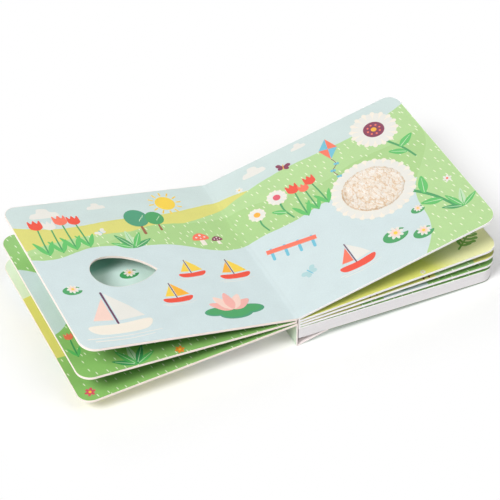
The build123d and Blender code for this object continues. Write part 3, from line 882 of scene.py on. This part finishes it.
    def butterfly(self, x, y, size, wing, bodyTone, turn=20):
        for mirrored in (False, True):
            for shape in (((0, 0), (0.5, 0.5), (0.9, 0.35), (0.7, 0.0)),
                          ((0, 0), (0.6, -0.05), (0.62, -0.42), (0.2, -0.4))):
                self.put(smooth(shape, 5), (x, y, size, turn, mirrored), wing)
        self.put(stroke([(0, -0.38), (0, 0.36)], 0.09, 0.12, 4), (x, y, size, turn), bodyTone, 2)

    def lily(self, x, y, size):
        # a notched pad, seen aslant, with a flower on it
        rim = [(math.cos(a), math.sin(a)) for a in (math.radians(30 + 320 * k / 26) for k in range(27))]
        self.add([(x + size * px, y + size * 0.62 * py) for px, py in [(0, 0)] + rim], "leafDeep")
        for k, (tone, scale) in enumerate((("white", 0.62), ("blush", 0.42), ("yellow", 0.16))):
            self.add(petals(x + size * 0.1, y + size * 0.2, size * scale, 8, 0.42 if k < 2 else 0.1, 0.2 * k),
                     tone, 2 if k == 0 else 3)

    def starFlower(self, x, y, size, tone="coral", heart="yellow"):
        self.add(petals(x, y, size, 6, 0.5), tone)
        self.dot(x, y, size * 0.26, heart, 18, 2)

    def daisy(self, x, y, rx, ry, length, count, turn=0.0):
        # rounded petals round an oval heart, a cream ring showing behind a white one
        for tone, level, grow, shift in (("cream", 2, 1.0, 0.5), ("white", 3, 0.86, 0.0)):
            points = []
            for step in range(count * 10):
                a = 2 * math.pi * step / (count * 10)
                lobe = abs(math.cos((count * a / 2) + math.pi * shift)) ** 0.55
                reach = length * grow * (0.30 + 0.70 * lobe)
                points.append(((rx + reach) * math.cos(a), (ry + reach) * math.sin(a)))
            self.put(points, (x, y, 1, turn), tone, level)

    def jetty(self, x, y, length, turn):
        for k in range(4):
            post = length * (0.1 + 0.27 * k)
            self.put(stroke([(post, 2), (post, -9)], 2.6), (x, y, 1, turn), "blue", 1)
        self.put([(0, -2.2), (length, -2.2), (length, 2.2), (0, 2.2)], (x, y, 1, turn), "coral", 2)

    def kite(self, x, y, size, turn):
        at = (x, y, size, turn)
        corners = [(0, 0.62), (0.4, 0), (0, -0.62), (-0.4, 0)]
        for k, tone in enumerate(("coral", "blue", "coral", "blue")):
            self.put([(0, 0), corners[k], corners[(k + 1) % 4]], at, tone, 2)
        tail = [(0, -0.62), (0.14, -0.95), (-0.08, -1.3), (0.1, -1.7)]
        self.put(stroke(tail, 0.03), at, "plum")
        for tx, ty in tail[1:]:
            self.put(petals(tx, ty, 0.12, 2, 0.7), at, "blue", 2)

    def lobedLeaf(self, x, y, size, turn, tone="fern"):
        # a midrib with rounded lobes in pairs, longest in the middle
        at = (x, y, size, turn)
        self.put(stroke([(0, -0.42), (0.01, 0.0), (0, 0.44)], 0.07, 0.05), at, tone)
        for low, length in ((-0.22, 0.22), (-0.06, 0.31), (0.12, 0.30), (0.28, 0.22), (0.40, 0.12)):
            for side in (-1, 1):
                self.put(stroke([(0, low), (side * length * 0.6, low + 0.09), (side * length, low + 0.22)],
                                0.07, 0.125), at, tone)

    def build(self, name, slotName="page_board", body="book"):
        self.plates.build(name, pictureInk, slotName, body)


pictureFinish = inkFinish("picture_ink")
pictureColour = pictureFinish.node("ShaderNodeAttribute", {"attribute_name": "ink"}, {}, "Color")
printGrain(pictureFinish, pictureColour, 0.6)
pictureInk = pictureFinish.material

print("pictures")
left = Picture("left1Top", fieldLook["paintedSpreadLight"][0])
left.sun(-44, 70, 8.5)
left.cloud(-150, 74, 24)
left.cloud(-104, 76, 15)
left.roundTree(-76, 36, 30)
left.roundTree(-61, 38, 23, "leafDeep")
left.leafClump(-92, 20, 22, ("leaf", "leafDeep", "blade", "leaf", "leafDeep"))
left.toadstool(-34, 13, 14)
left.toadstool(-21, 12, 9, "plum")
for k, bloom in enumerate(("red", "white", "coral", "red")):
    left.tulip(-163 + 12 * k, 24 + 1.5 * k, 33 - 3 * (k % 2), bloom, 2 - k)
left.boat(-60, -18, 22, "yellow", "red")
left.boat(-26, -26, 25, "yellow", "red", "gold")
left.boat(-84, -44, 24, "gold", "red", "yellow")
left.lotus(-46, -66, 32)
left.boat(-141, -63, 50, "white", "cream", "blush")
left.lily(-162, -20, 8)
left.butterfly(-112, 44, 6, "white", "blue", 30)
left.build("left1_picture")

right = Picture("right1Top", fieldLook["paintedSpreadLight"][1])
right.cloud(40, 76, 20)
right.cloud(84, 80, 13)
right.stem(((136, -18), (150, -36), (160, -58)), ((145, -30, 20, -20), (154, -44, 18, 70)))
right.daisy(fleece["reach"], fleece["y"], fleece["long"] / 2 + 0.6, fleece["wide"] / 2 + 0.6, 9.0, 26)
right.stem(((149, 40), (156, 26), (160, 12)), ((154, 28, 18, -60), (157, 20, 16, 56)), 2.2)
right.daisy(146, 59, 9, 9, 12.0, 16, 10)
right.dot(146, 59, 9.0, "plum", 48, 4)
for k in range(8):
    a = 2 * math.pi * k / 8
    right.dot(146 + 5.4 * math.cos(a), 59 + 5.4 * math.sin(a), 0.9, "coral", 14, 5)
right.dot(146, 59, 2.4, "gold", level=5)
right.stem(((44, 34), (43, 22), (46, 10)), ((44, 18, 13, 56),), 1.8)
right.daisy(44, 38, 3.4, 3.2, 5.5, 12)
right.dot(44, 38, 3.2, "rose", level=4)
right.stem(((22, 26), (21, 18), (23, 9)), (), 1.6)
right.daisy(22, 30, 3.0, 2.8, 4.6, 11)
right.dot(22, 30, 2.8, "gold", level=4)
right.jetty(10, -12, 42, -10)
right.kite(104, 62, 20, -14)
for k, (bloom, height) in enumerate((("red", 30), ("coral", 25), ("red", 28))):
    right.tulip(57 + 10 * k, 5 + 1.5 * k, height, bloom, 2 - 2 * k)
right.leafClump(164, -60, 20, ("leafDeep", "leaf", "blade", "leaf"))
right.boat(66, -62, 30, "white", "red", "coral")
right.lily(104, -56, 11)
right.lily(124, -66, 9)
right.lily(132, -42, 6)
right.butterfly(30, -50, 8, "ghost", "blue", 24)
right.butterfly(64, 66, 7, "plum", "gold", -20)
right.starFlower(168, -26, 4, "white", "coral")
right.starFlower(22, 64, 3.4, "white", "yellow")
right.build("right1_picture")

leaf = Picture("left2Top")
leaf.lily(-100, 10, 8)
leaf.starFlower(-98, -83, 4, "orange")
leaf.leafClump(-134, -86, 22, ("leafDeep", "leaf", "blade", "leafDeep", "leaf"))
leaf.tulip(-172, -62, 20, "coral", 1)
leaf.sun(-60, 50, 9)
leaf.build("left2_picture")

leaf = Picture("right2Top")
leaf.lobedLeaf(158, -68, 24, -52)
leaf.lobedLeaf(96, 20, 34, 10, "moss")
leaf.starFlower(60, -40, 9, "coral")
leaf.starFlower(112, -84, 2.4, "white")
leaf.build("right2_picture")

leaf = Picture("right3Top")
for x, height in ((64, 9), (70, 7), (112, 8), (117, 10)):
    leaf.line([(x, -86), (x + 1.2, -86 + height)], "brown", 1.3, 0.9)
leaf.starFlower(150, 30, 8, "coral")
leaf.build("right3_picture")

leaf = Picture("right4Top")
leaf.tulip(60, -80, 16, "coral")
leaf.lily(96, -81, 7)
leaf.sun(120, 40, 10)
leaf.build("right4_picture")

# the press spots over the module's buttons
leaf = Picture("endPage")
for k, (du, dy) in enumerate(((-19, 2.5), (19, 2.5), (-19, 32.5), (19, 32.5))):
    spot = (book["moduleReach"] + du, dy)
    leaf.dot(*spot, 9.5, "white", 48)
    leaf.dot(*spot, 8.3, ("yellow", "blue", "coral", "leaf")[k], 48, 2)
    leaf.add(petals(*spot, 5.6, (5, 8, 6, 4)[k], 0.4), "cream", 3)
leaf.starFlower(47, -82, 3.2, "red")
leaf.tulip(30, -20, 26, "coral")
leaf.build("end_page_picture")

leaf = Picture("coverInside")
leaf.starFlower(-170, -78, 4.5, "rose")
leaf.cloud(-120, 66, 30)
leaf.tulip(-60, -30, 34, "coral")
leaf.roundTree(-100, -20, 44)
leaf.build("cover_inside_picture", "cover_board", "front_cover")

leaf = Picture("coverOutside")
leaf.sun(-44, 60, 12)
leaf.cloud(-118, 62, 34)
leaf.stem(((-98, -12), (-96, -30), (-92, -44)), ((-96, -28, 24, 60), (-95, -32, 22, -56)))
leaf.daisy(-98, 12, 13, 12, 20.0, 18)
leaf.add(toothed(-98, 12, 12.4, 11.4, 26, 1.2), "coral", 4)
leaf.add(ellipse(-98, 12, 6, 5.4, 32), "gold", 5)
leaf.boat(-44, -62, 34, "white", "red", "yellow")
for k in range(3):
    leaf.tulip(-160 + 9 * k, -46 + 2 * k, 28, ("red", "coral", "white")[k], 1)
leaf.build("cover_outside_picture", "cover_board", "front_cover")

for leafName in ("left1", "left2", "right1", "right2", "right3", "right4"):
    side = surfaces[leafName + "Under"]["side"]
    leaf = Picture(leafName + "Under")
    leaf.cloud(side * 50, 66, 26)
    leaf.roundTree(side * 44, -8, 46, "teal")
    for k in range(3):
        leaf.tulip(side * (118 + 14 * k), -76 + 4 * k, 34 - 3 * k, ("coral", "red", "white")[k], 1)
    leaf.butterfly(side * 78, 34, 8, "blue", "plum")
    leaf.build(leafName + "_back_picture")


# Fleece patch

print("fleece")
wool = {
    "clearance": 0.3, "lockLength": 4.4, "lockWidth": 0.36, "lockWave": 0.85, "lockArch": 0.55,
    "locksPerSquareCm": 165.0, "spacing": 0.48, "drift": 9.0, "seed": 7,
    "stops": ((0.28, linear(246, 236, 222)), (0.50, linear(252, 245, 236)), (0.70, linear(254, 251, 246))),
    "shadeCreases": ((150.0, 27.0, 0.85), (300.0, 17.0, 0.3)),     # scale, narrowness and depth
    "creaseShadeColour": linear(222, 186, 134), "toneScale": 260.0,
    "tanColour": linear(226, 192, 152), "tanShare": 0.86, "tanDepth": 0.4,     # locks past the share are tan
    "rimShadeColour": linear(212, 174, 122), "rimShadeDepth": 0.75, "rimShadeStart": 0.90,
    "fibreScale": 2600.0, "fibreStrength": 0.5, "fibreDepth": 0.0002,
}
halfLong, halfWide = fleece["long"] / 2, fleece["wide"] / 2


def woolFinish():
    finish = Finish("cream_fleece", 0.92, Sheen_Weight=0.25, Sheen_Roughness=0.6)
    lockTone = finish.node("ShaderNodeAttribute", {"attribute_name": "woolTone"}, {}, "Fac")
    tone = finish.noise(finish.place, wool["toneScale"], 3.0)
    colour = finish.node("ShaderNodeValToRGB", {"stops": wool["stops"]}, {0: tone})
    # painted shade: tan lines wind along the hollows between the swirls; and the odd lock is tan all along
    drawn = finish.scaled(finish.place, (1.5, 0.8, 1.0), (0.0, 0.0, 0.5))
    for scale, narrowness, depth in wool["shadeCreases"]:
        offLine = (finish.noise(drawn, scale, 1.5) - 0.5).magnitude()
        colour = finish.blend((1.0 - offLine * narrowness).clamped() * depth, colour, wool["creaseShadeColour"])
    tanLocks = ((lockTone - wool["tanShare"]) * 9.0).clamped()
    colour = finish.blend(tanLocks * wool["tanDepth"], colour, wool["tanColour"])
    # and painted shade along the cut edge, where the pad sits below the page
    slope = math.cos(math.radians(book["rightLifts"][0]))
    middle = book["gutterX"] + originShift + fleece["reach"] * slope
    parts = finish.split(finish.place)
    long = (parts - middle * mm) / (halfLong * slope * mm)
    wide = (parts.out(1) - fleece["y"] * mm) / (halfWide * mm)
    rim = ((long * long + wide * wide - wool["rimShadeStart"]) * 14.0).clamped()
    finish.feed("Base Color", finish.blend(rim * wool["rimShadeDepth"], colour, wool["rimShadeColour"]))
    finish.feed("Roughness", 0.84 + tone * 0.14)
    finish.bump(finish.noise(finish.place, wool["fibreScale"], 3.0, 0.7), wool["fibreStrength"],
                wool["fibreDepth"])
    return finish.material


woolMaterial = woolFinish()


def fleecePad(name, low, high, margin, rings, spokes, crown, lumps):
    # a closed oval pad whose top is crowned and lumpy, in the cut-out of the open right page
    rx = halfLong - wool["clearance"] - margin
    ry = halfWide - wool["clearance"] - margin
    randomness = random.Random(wool["seed"])
    waves = [(randomness.uniform(0.25, 1.1), randomness.uniform(0.25, 1.1), randomness.uniform(0, 6.3))
             for _ in range(10)]
    mesh = bmesh.new()

    def top(px, py, share):
        lump = sum(math.sin(px * a + py * b + c) for a, b, c in waves) / len(waves)
        edge = math.sqrt(max(0.0, 1 - share ** 3.2))
        return low + (high - low) * (0.35 + 0.65 * edge) + crown * (1 - share * share) + lumps * lump * edge

    def at(share, angle, isTop):
        px = fleece["reach"] + rx * share * math.cos(angle)
        py = fleece["y"] + ry * share * math.sin(angle)
        height = top(px, py, share) if isTop else low
        return mesh.verts.new(surfaces["right1Top"]["place"](px, py, height - halfLeaf))

    rims = []
    for isTop in (True, False):
        middle = at(0.0, 0.0, isTop)
        previous = None
        for ring in range(1, rings + 1):
            current = [at(ring / rings, 2 * math.pi * k / spokes, isTop) for k in range(spokes)]
            for k in range(spokes):
                j = (k + 1) % spokes
                loop = (previous[k], current[k], current[j], previous[j]) if previous else (
                    middle, current[k], current[j])
                mesh.faces.new(loop if isTop else loop[::-1])
            previous = current
        rims.append(previous)
    upper, lower = rims
    for k in range(spokes):
        j = (k + 1) % spokes
        mesh.faces.new((upper[k], lower[k], lower[j], upper[j]))
    return softened(addObject(name, meshFrom(mesh, name, woolMaterial)))


pads = {
    "fleece_backing": {"low": 0.06, "high": 0.9, "margin": 0.0, "rings": 10, "spokes": 64,
                       "crown": 0.0, "lumps": 0.0},
    "fleece_batting": {"low": 0.9, "high": 1.5, "margin": 0.4, "rings": 26, "spokes": 96,
                       "crown": 0.35, "lumps": 0.28},
}
backing, batting = [fleecePad(name, **sizes) for name, sizes in pads.items()]


def curlTree():
    # wavy locks laid over the batting, turned together in drifts
    tree = bpy.data.node_groups.new("fleece_locks", "GeometryNodeTree")
    for name, kind, value in (
            ("Geometry", "Geometry", None), ("Locks per m2", "Float", wool["locksPerSquareCm"] * 1e4),
            ("Spacing", "Float", wool["spacing"] * mm), ("Lock length", "Float", wool["lockLength"] * mm),
            ("Wave", "Float", wool["lockWave"] * mm), ("Arch", "Float", wool["lockArch"] * mm),
            ("Yarn radius", "Float", wool["lockWidth"] * mm), ("Drift", "Float", wool["drift"]),
            ("Seed", "Int", wool["seed"]), ("Wool", "Material", None)):
        socket = tree.interface.new_socket(name, in_out="INPUT", socket_type="NodeSocket" + kind)
        if value is not None:
            socket.default_value = value
    tree.interface.new_socket("Geometry", in_out="OUTPUT", socket_type="NodeSocketGeometry")
    wiring = Wiring(tree)
    given = wiring.node("NodeGroupInput")

    def chance(kind, low, high, output):
        # a random value for each lock
        keys = (0, 1) if kind == "FLOAT_VECTOR" else (2, 3)
        return wiring.node("FunctionNodeRandomValue", {"data_type": kind},
                           {keys[0]: low, keys[1]: high, "Seed": given.out("Seed")}, output)

    # one lock: a wavy arch, thin at both ends
    line = wiring.node("GeometryNodeCurvePrimitiveLine", {}, {"End": (1.0, 0.0, 0.0)})
    spaced = wiring.node("GeometryNodeResampleCurve", {}, {"Curve": line, "Count": 12})
    part = wiring.node("GeometryNodeSplineParameter", {}, {}, "Factor")
    swell = (part * math.pi).sine()
    bend = wiring.node("ShaderNodeCombineXYZ", {}, {
        "X": (part - 0.5) * given.out("Lock length"),
        "Y": (part * 10.5).sine() * given.out("Wave"),
        "Z": (swell - 0.45) * given.out("Arch")})
    shaped = wiring.node("GeometryNodeSetPosition", {}, {"Geometry": spaced, "Position": bend})
    thickness = (swell * 0.75 + 0.25) * given.out("Yarn radius")
    ring = wiring.node("GeometryNodeCurvePrimitiveCircle", {"mode": "RADIUS"},
                       {"Resolution": 3, "Radius": 1.0})
    lock = wiring.node("GeometryNodeCurveToMesh", {}, {
        "Curve": shaped, "Profile Curve": ring, "Scale": thickness, "Fill Caps": True})
    # where the locks lie and which way they run
    normal = wiring.split(wiring.node("GeometryNodeInputNormal"))
    upward = wiring.node("FunctionNodeCompare", {"data_type": "FLOAT", "operation": "GREATER_THAN"},
                         {0: normal.out(2), 1: 0.35})
    scatter = wiring.node("GeometryNodeDistributePointsOnFaces", {"distribute_method": "POISSON"}, {
        "Mesh": given, "Selection": upward, "Distance Min": given.out("Spacing"),
        "Density Max": given.out("Locks per m2"), "Seed": given.out("Seed")})
    drift = wiring.noise(wiring.node("GeometryNodeInputPosition"), 85.0, 1.0)
    heading = drift * (given.out("Drift") * 2.0) + chance("FLOAT", -0.55, 0.55, 1)
    lean = chance("FLOAT_VECTOR", (-0.5, -0.12, 0.0), (0.5, 0.12, 0.0), 0)
    aimed = scatter.out("Rotation")
    for turn in (wiring.node("ShaderNodeCombineXYZ", {}, {"Z": heading}), lean):
        aimed = wiring.node("FunctionNodeRotateRotation", {"rotation_space": "LOCAL"},
                            {"Rotation": aimed, "Rotate By": turn})
    placed = wiring.node("GeometryNodeInstanceOnPoints", {}, {
        "Points": scatter, "Instance": lock, "Rotation": aimed, "Scale": chance("FLOAT", 0.65, 1.2, 1)})
    toned = wiring.node("GeometryNodeStoreNamedAttribute", {"data_type": "FLOAT", "domain": "INSTANCE"}, {
        "Geometry": placed, "Name": "woolTone", "Value": chance("FLOAT", 0.0, 1.0, 1)})
    real = wiring.node("GeometryNodeRealizeInstances", {}, {"Geometry": toned})
    painted = wiring.node("GeometryNodeSetMaterial", {}, {"Geometry": real, "Material": given.out("Wool")})
    wiring.node("NodeGroupOutput", {}, {0: painted})
    return tree


def socketKey(tree, name):
    return next(item.identifier for item in tree.interface.items_tree
                if item.name == name and item.in_out == "INPUT")


curls = curlTree()
ground = addObject("fleece_ground", batting.data)
modifier = ground.modifiers.new("curls", "NODES")
modifier.node_group = curls
modifier[socketKey(curls, "Wool")] = woolMaterial
bpy.context.view_layer.update()
evaluated = ground.evaluated_get(bpy.context.evaluated_depsgraph_get())
pile = softened(addObject("fleece_pile", bpy.data.meshes.new_from_object(evaluated)))
bpy.data.objects.remove(ground)
print("fleece curls", len(pile.data.polygons), "faces")

for piece in (backing, batting, pile):
    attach(piece, "book")
    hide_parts("fleece_patch")


# Finishes of the solids

print("finishes")


cardLook = {
    "roughLow": 0.62, "roughSpread": 0.2, "fibreScale": 900.0, "layerStretch": (60.0, 60.0, 3600.0),
    "layerStart": 0.42, "layerContrast": 2.2, "layerDepth": 0.22, "gutterEdge": 300.0,
    "edgeMottle": 0.16, "edgeRelief": 0.22, "edgeReliefDepth": 0.00015,
    "wrapPale": (246, 236, 234), "wrapPrintAndShade": (100, 128, 96), "wrapPrintHeight": 0.00078,
    "wrapPrintEdge": 9000.0, "stripEdge": 900.0, "wrapMottle": 0.14, "wrapRelief": 0.15,
    "wrapReliefDepth": 0.00012,
}


def cutCard(name):
    # a finish with the fibres of cut card, and the fibres
    finish = Finish(name, 0.7)
    fibres = finish.noise(finish.place, cardLook["fibreScale"], 3.0, 0.7)
    finish.feed("Roughness", cardLook["roughLow"] + fibres * cardLook["roughSpread"])
    return finish, fibres


def boardEdge(name, pale, warm, dark):
    # grey-cored card: faint layers along the cut, warmer to the left of the gutter
    finish, fibres = cutCard(name)
    layers = finish.noise(finish.scaled(finish.place, cardLook["layerStretch"]), 1.0, 2.0)
    onLeft = (0.5 - finish.split(finish.place) * cardLook["gutterEdge"]).clamped()
    colour = finish.blend(onLeft, linear(*pale), linear(*warm))
    lines = ((layers - cardLook["layerStart"]) * cardLook["layerContrast"]).clamped()
    colour = finish.blend(lines * cardLook["layerDepth"], colour, linear(*dark))
    finish.mottle(colour, fibres, cardLook["edgeMottle"])
    finish.bump(layers + fibres * 0.4, cardLook["edgeRelief"], cardLook["edgeReliefDepth"])
    return finish.material


def wrapCardEdge():
    # the cut shows pale card with a thin dark green line along its lower side: the outer print, painted
    # darker as the shade where the card meets the floor
    finish, fibres = cutCard("cover_card_edge")
    parts = finish.split(finish.place)
    rise = ((parts - (blockX + originShift) * mm) * math.sin(tilt)
            + (parts.out(2) - blockZ * mm) * math.cos(tilt))
    nearOutside = ((cardLook["wrapPrintHeight"] - rise) * cardLook["wrapPrintEdge"]).clamped()
    # painted shade and print: the line's colour is darker than the outer print
    printed = nearOutside * ((parts - book["stripReach"] * mm) * cardLook["stripEdge"]).clamped()
    colour = finish.blend(printed, linear(*cardLook["wrapPale"]), linear(*cardLook["wrapPrintAndShade"]))
    finish.mottle(colour, fibres, cardLook["wrapMottle"])
    finish.bump(fibres, cardLook["wrapRelief"], cardLook["wrapReliefDepth"])
    return finish.material


mouldedLook = {"broadScale": 70.0, "roughSpread": 0.12, "reliefDepth": 0.00012}
metalLook = {"brushStretch": (1.0, 14.0, 1.0), "markScale": 700.0, "broadScale": 160.0, "mottle": 0.14,
             "roughDrop": 0.08, "roughSpread": 0.2, "relief": 0.08, "reliefDepth": 0.00005}


def moulded(name, colour, roughness, grain, relief, mottle=0.10):
    finish = Finish(name, roughness)
    broad = finish.noise(finish.place, mouldedLook["broadScale"])
    finish.mottle(linear(*colour), broad, mottle)
    finish.feed("Roughness", roughness + (broad - 0.5) * mouldedLook["roughSpread"])
    finish.bump(finish.noise(finish.place, grain, 3.0, 0.6), relief, mouldedLook["reliefDepth"])
    return finish.material


def metal(name, colour, roughness, brushed=False):
    finish = Finish(name, roughness, Metallic=1.0)
    place = finish.scaled(finish.place, metalLook["brushStretch"]) if brushed else finish.place
    marks = finish.noise(place, metalLook["markScale"], 3.0, 0.6)
    finish.mottle(linear(*colour), finish.noise(place, metalLook["broadScale"]), metalLook["mottle"])
    finish.feed("Roughness", roughness - metalLook["roughDrop"] + marks * metalLook["roughSpread"])
    finish.bump(marks, metalLook["relief"], metalLook["reliefDepth"])
    return finish.material


solidFinishes = {
    "board_pages": boardEdge("page_board_edge", (251, 249, 249), (252, 238, 230), (226, 214, 206)),
    "front_cover": boardEdge("cover_board_edge", (252, 244, 238), (252, 238, 230), (222, 210, 202)),
    "back_cover": wrapCardEdge(),
    "sound_block": boardEdge("block_board_edge", (236, 233, 235), (236, 233, 235), (196, 192, 194)),
    "module_base": moulded("shell_plastic", (236, 236, 232), 0.5, 1800.0, 0.25),
    "module_lid": moulded("lid_plastic", (236, 236, 232), 0.5, 1800.0, 0.25),
    "battery_door": moulded("door_plastic", (229, 229, 225), 0.5, 1800.0, 0.25),
    "switch_case": moulded("switch_case_plastic", (60, 60, 64), 0.45, 1500.0, 0.15),
    "switch_slider": moulded("knob_plastic", (34, 34, 37), 0.4, 1500.0, 0.12),
    "circuit_board": moulded("circuit_laminate", (52, 126, 70), 0.35, 900.0, 0.1, 0.2),
    "sound_chip": moulded("chip_resin", (22, 22, 24), 0.18, 300.0, 0.2),
    "speaker_basket": metal("basket_steel", (214, 213, 211), 0.34, True),
    "speaker_magnet": metal("magnet_can", (196, 195, 194), 0.3, True),
    "speaker_cone": moulded("cone_film", (214, 206, 184), 0.25, 500.0, 0.12, 0.16),
    "lid_screws": metal("lid_screw_steel", (200, 200, 202), 0.28),
    "board_screws": metal("board_screw_steel", (200, 200, 202), 0.28),
    "door_screw": metal("door_screw_steel", (200, 200, 202), 0.28),
}
for k in range(1, 5):
    solidFinishes[f"press_button_{k}"] = moulded(f"button_plastic_{k}", (225, 225, 221), 0.4, 1600.0, 0.15)
    solidFinishes[f"return_dome_{k}"] = moulded(f"dome_rubber_{k}", (206, 206, 200), 0.7, 1200.0, 0.2)
for k in range(1, 4):
    solidFinishes[f"battery_cell_{k}"] = metal(f"cell_can_{k}", (226, 226, 226), 0.22, True)
for name in ("contact_positive", "contact_negative", "contact_top_link", "contact_door_link"):
    solidFinishes[name] = metal(name + "_strip", (226, 222, 210), 0.26, True)
for name, material in solidFinishes.items():
    nodes[name].data.materials.clear()
    nodes[name].data.materials.append(material)


# Floor, light and camera

print("floor, light and camera")
studio = {
    "floorSize": 8.0, "floorDrop": 0.0001, "floorGlow": 0.20, "floorColour": (0.985, 0.98, 0.972, 1.0),
    "shadowReach": (0.004, 0.07), "worldLevel": 0.09, "worldColour": (1.0, 0.998, 0.995, 1.0),
    "lens": 147.83, "sensor": 36.0, "cameraPlace": (-0.520596, -1.0946, 1.1380),
    "cameraTurn": (47.55, 0.0, -25.46),
}
black, white = (0.0, 0.0, 0.0, 1.0), (1.0, 1.0, 1.0, 1.0)
studioLights = {
    # azimuth from the back towards the right, elevation, distance, size and level
    "frontLeft": (-112.0, 49.0, 5.0, 1.8, 0.88),
    "frontRight": (146.0, 49.0, 5.0, 2.3, 0.28),
    "behind": (8.0, 38.0, 5.0, 2.6, 0.13),
    # the floor hides this one, which shows the underside where the floor is left out
    "underneath": (-150.0, -62.0, 5.0, 3.0, 0.60),
}


def directlySeen(wiring):
    # 1 for what the camera sees straight, in a shiny face or through a clear one
    path = wiring.node("ShaderNodeLightPath", {}, {}, "Is Camera Ray")
    shiny = wiring.maths("ADD", path, path.out("Is Glossy Ray"), True)
    return wiring.maths("ADD", shiny, path.out("Is Transmission Ray"), True)


def floorFinish():
    # white away from the object; near its foot the floor keeps the shadow
    finish = Finish("studio_floor", 1.0, Specular_IOR_Level=0.0, Emission_Strength=1.0)
    parts = finish.split(finish.place)
    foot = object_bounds()[1]
    offX = finish.maths("MAXIMUM", parts.magnitude() - foot.x, 0.0)
    offY = finish.maths("MAXIMUM", parts.out(1).magnitude() - foot.y, 0.0)
    nearest, farthest = studio["shadowReach"]
    offFoot = finish.maths("POWER", offX * offX + offY * offY, 0.5)
    fading = ((offFoot - nearest) / (farthest - nearest)).clamped()
    whitened = (fading * (1.0 - studio["floorGlow"]) + studio["floorGlow"]) * directlySeen(finish)
    finish.feed("Base Color", finish.blend(whitened, studio["floorColour"], black))
    finish.feed("Emission Color", finish.blend(whitened, black, white))
    return finish.material


floorMesh = bmesh.new()
bmesh.ops.create_grid(floorMesh, x_segments=12, y_segments=12, size=studio["floorSize"] / 2)
floor = addObject("studio_floor", meshFrom(floorMesh, "studio_floor", floorFinish()))
floor.location.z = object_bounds()[0].z - studio["floorDrop"]

world = bpy.data.worlds.new("studio")
bpy.context.scene.world = world
world.use_nodes = True
surround = Wiring(world.node_tree)
background = world.node_tree.nodes["Background"].inputs
seen = directlySeen(surround)
surround.join(seen * (1.0 - studio["worldLevel"]) + studio["worldLevel"], background["Strength"])
surround.join(studio["worldColour"], background["Color"])


def softLight(name, azimuth, elevation, distance, size, level):
    # level is what the light adds to a white face turned straight to it
    light = bpy.data.lights.new(name, "AREA")
    light.shape = "SQUARE"
    light.size = size
    light.energy = level * math.pi ** 2 * distance ** 2
    made = addObject(name, light)
    a, e = math.radians(azimuth), math.radians(elevation)
    towards = Vector((math.sin(a) * math.cos(e), math.cos(a) * math.cos(e), math.sin(e)))
    made.location = towards * distance
    made.rotation_mode = "QUATERNION"
    made.rotation_quaternion = towards.to_track_quat("Z", "Y")


for lightName, values in studioLights.items():
    softLight(lightName, *values)

cameraData = bpy.data.cameras.new("camera")
cameraData.lens = studio["lens"]
cameraData.sensor_width = studio["sensor"]
camera = addObject("camera", cameraData)
camera.location = studio["cameraPlace"]
camera.rotation_euler = [math.radians(turn) for turn in studio["cameraTurn"]]
bpy.context.scene.camera = camera
bpy.context.scene.view_settings.view_transform = "Standard"
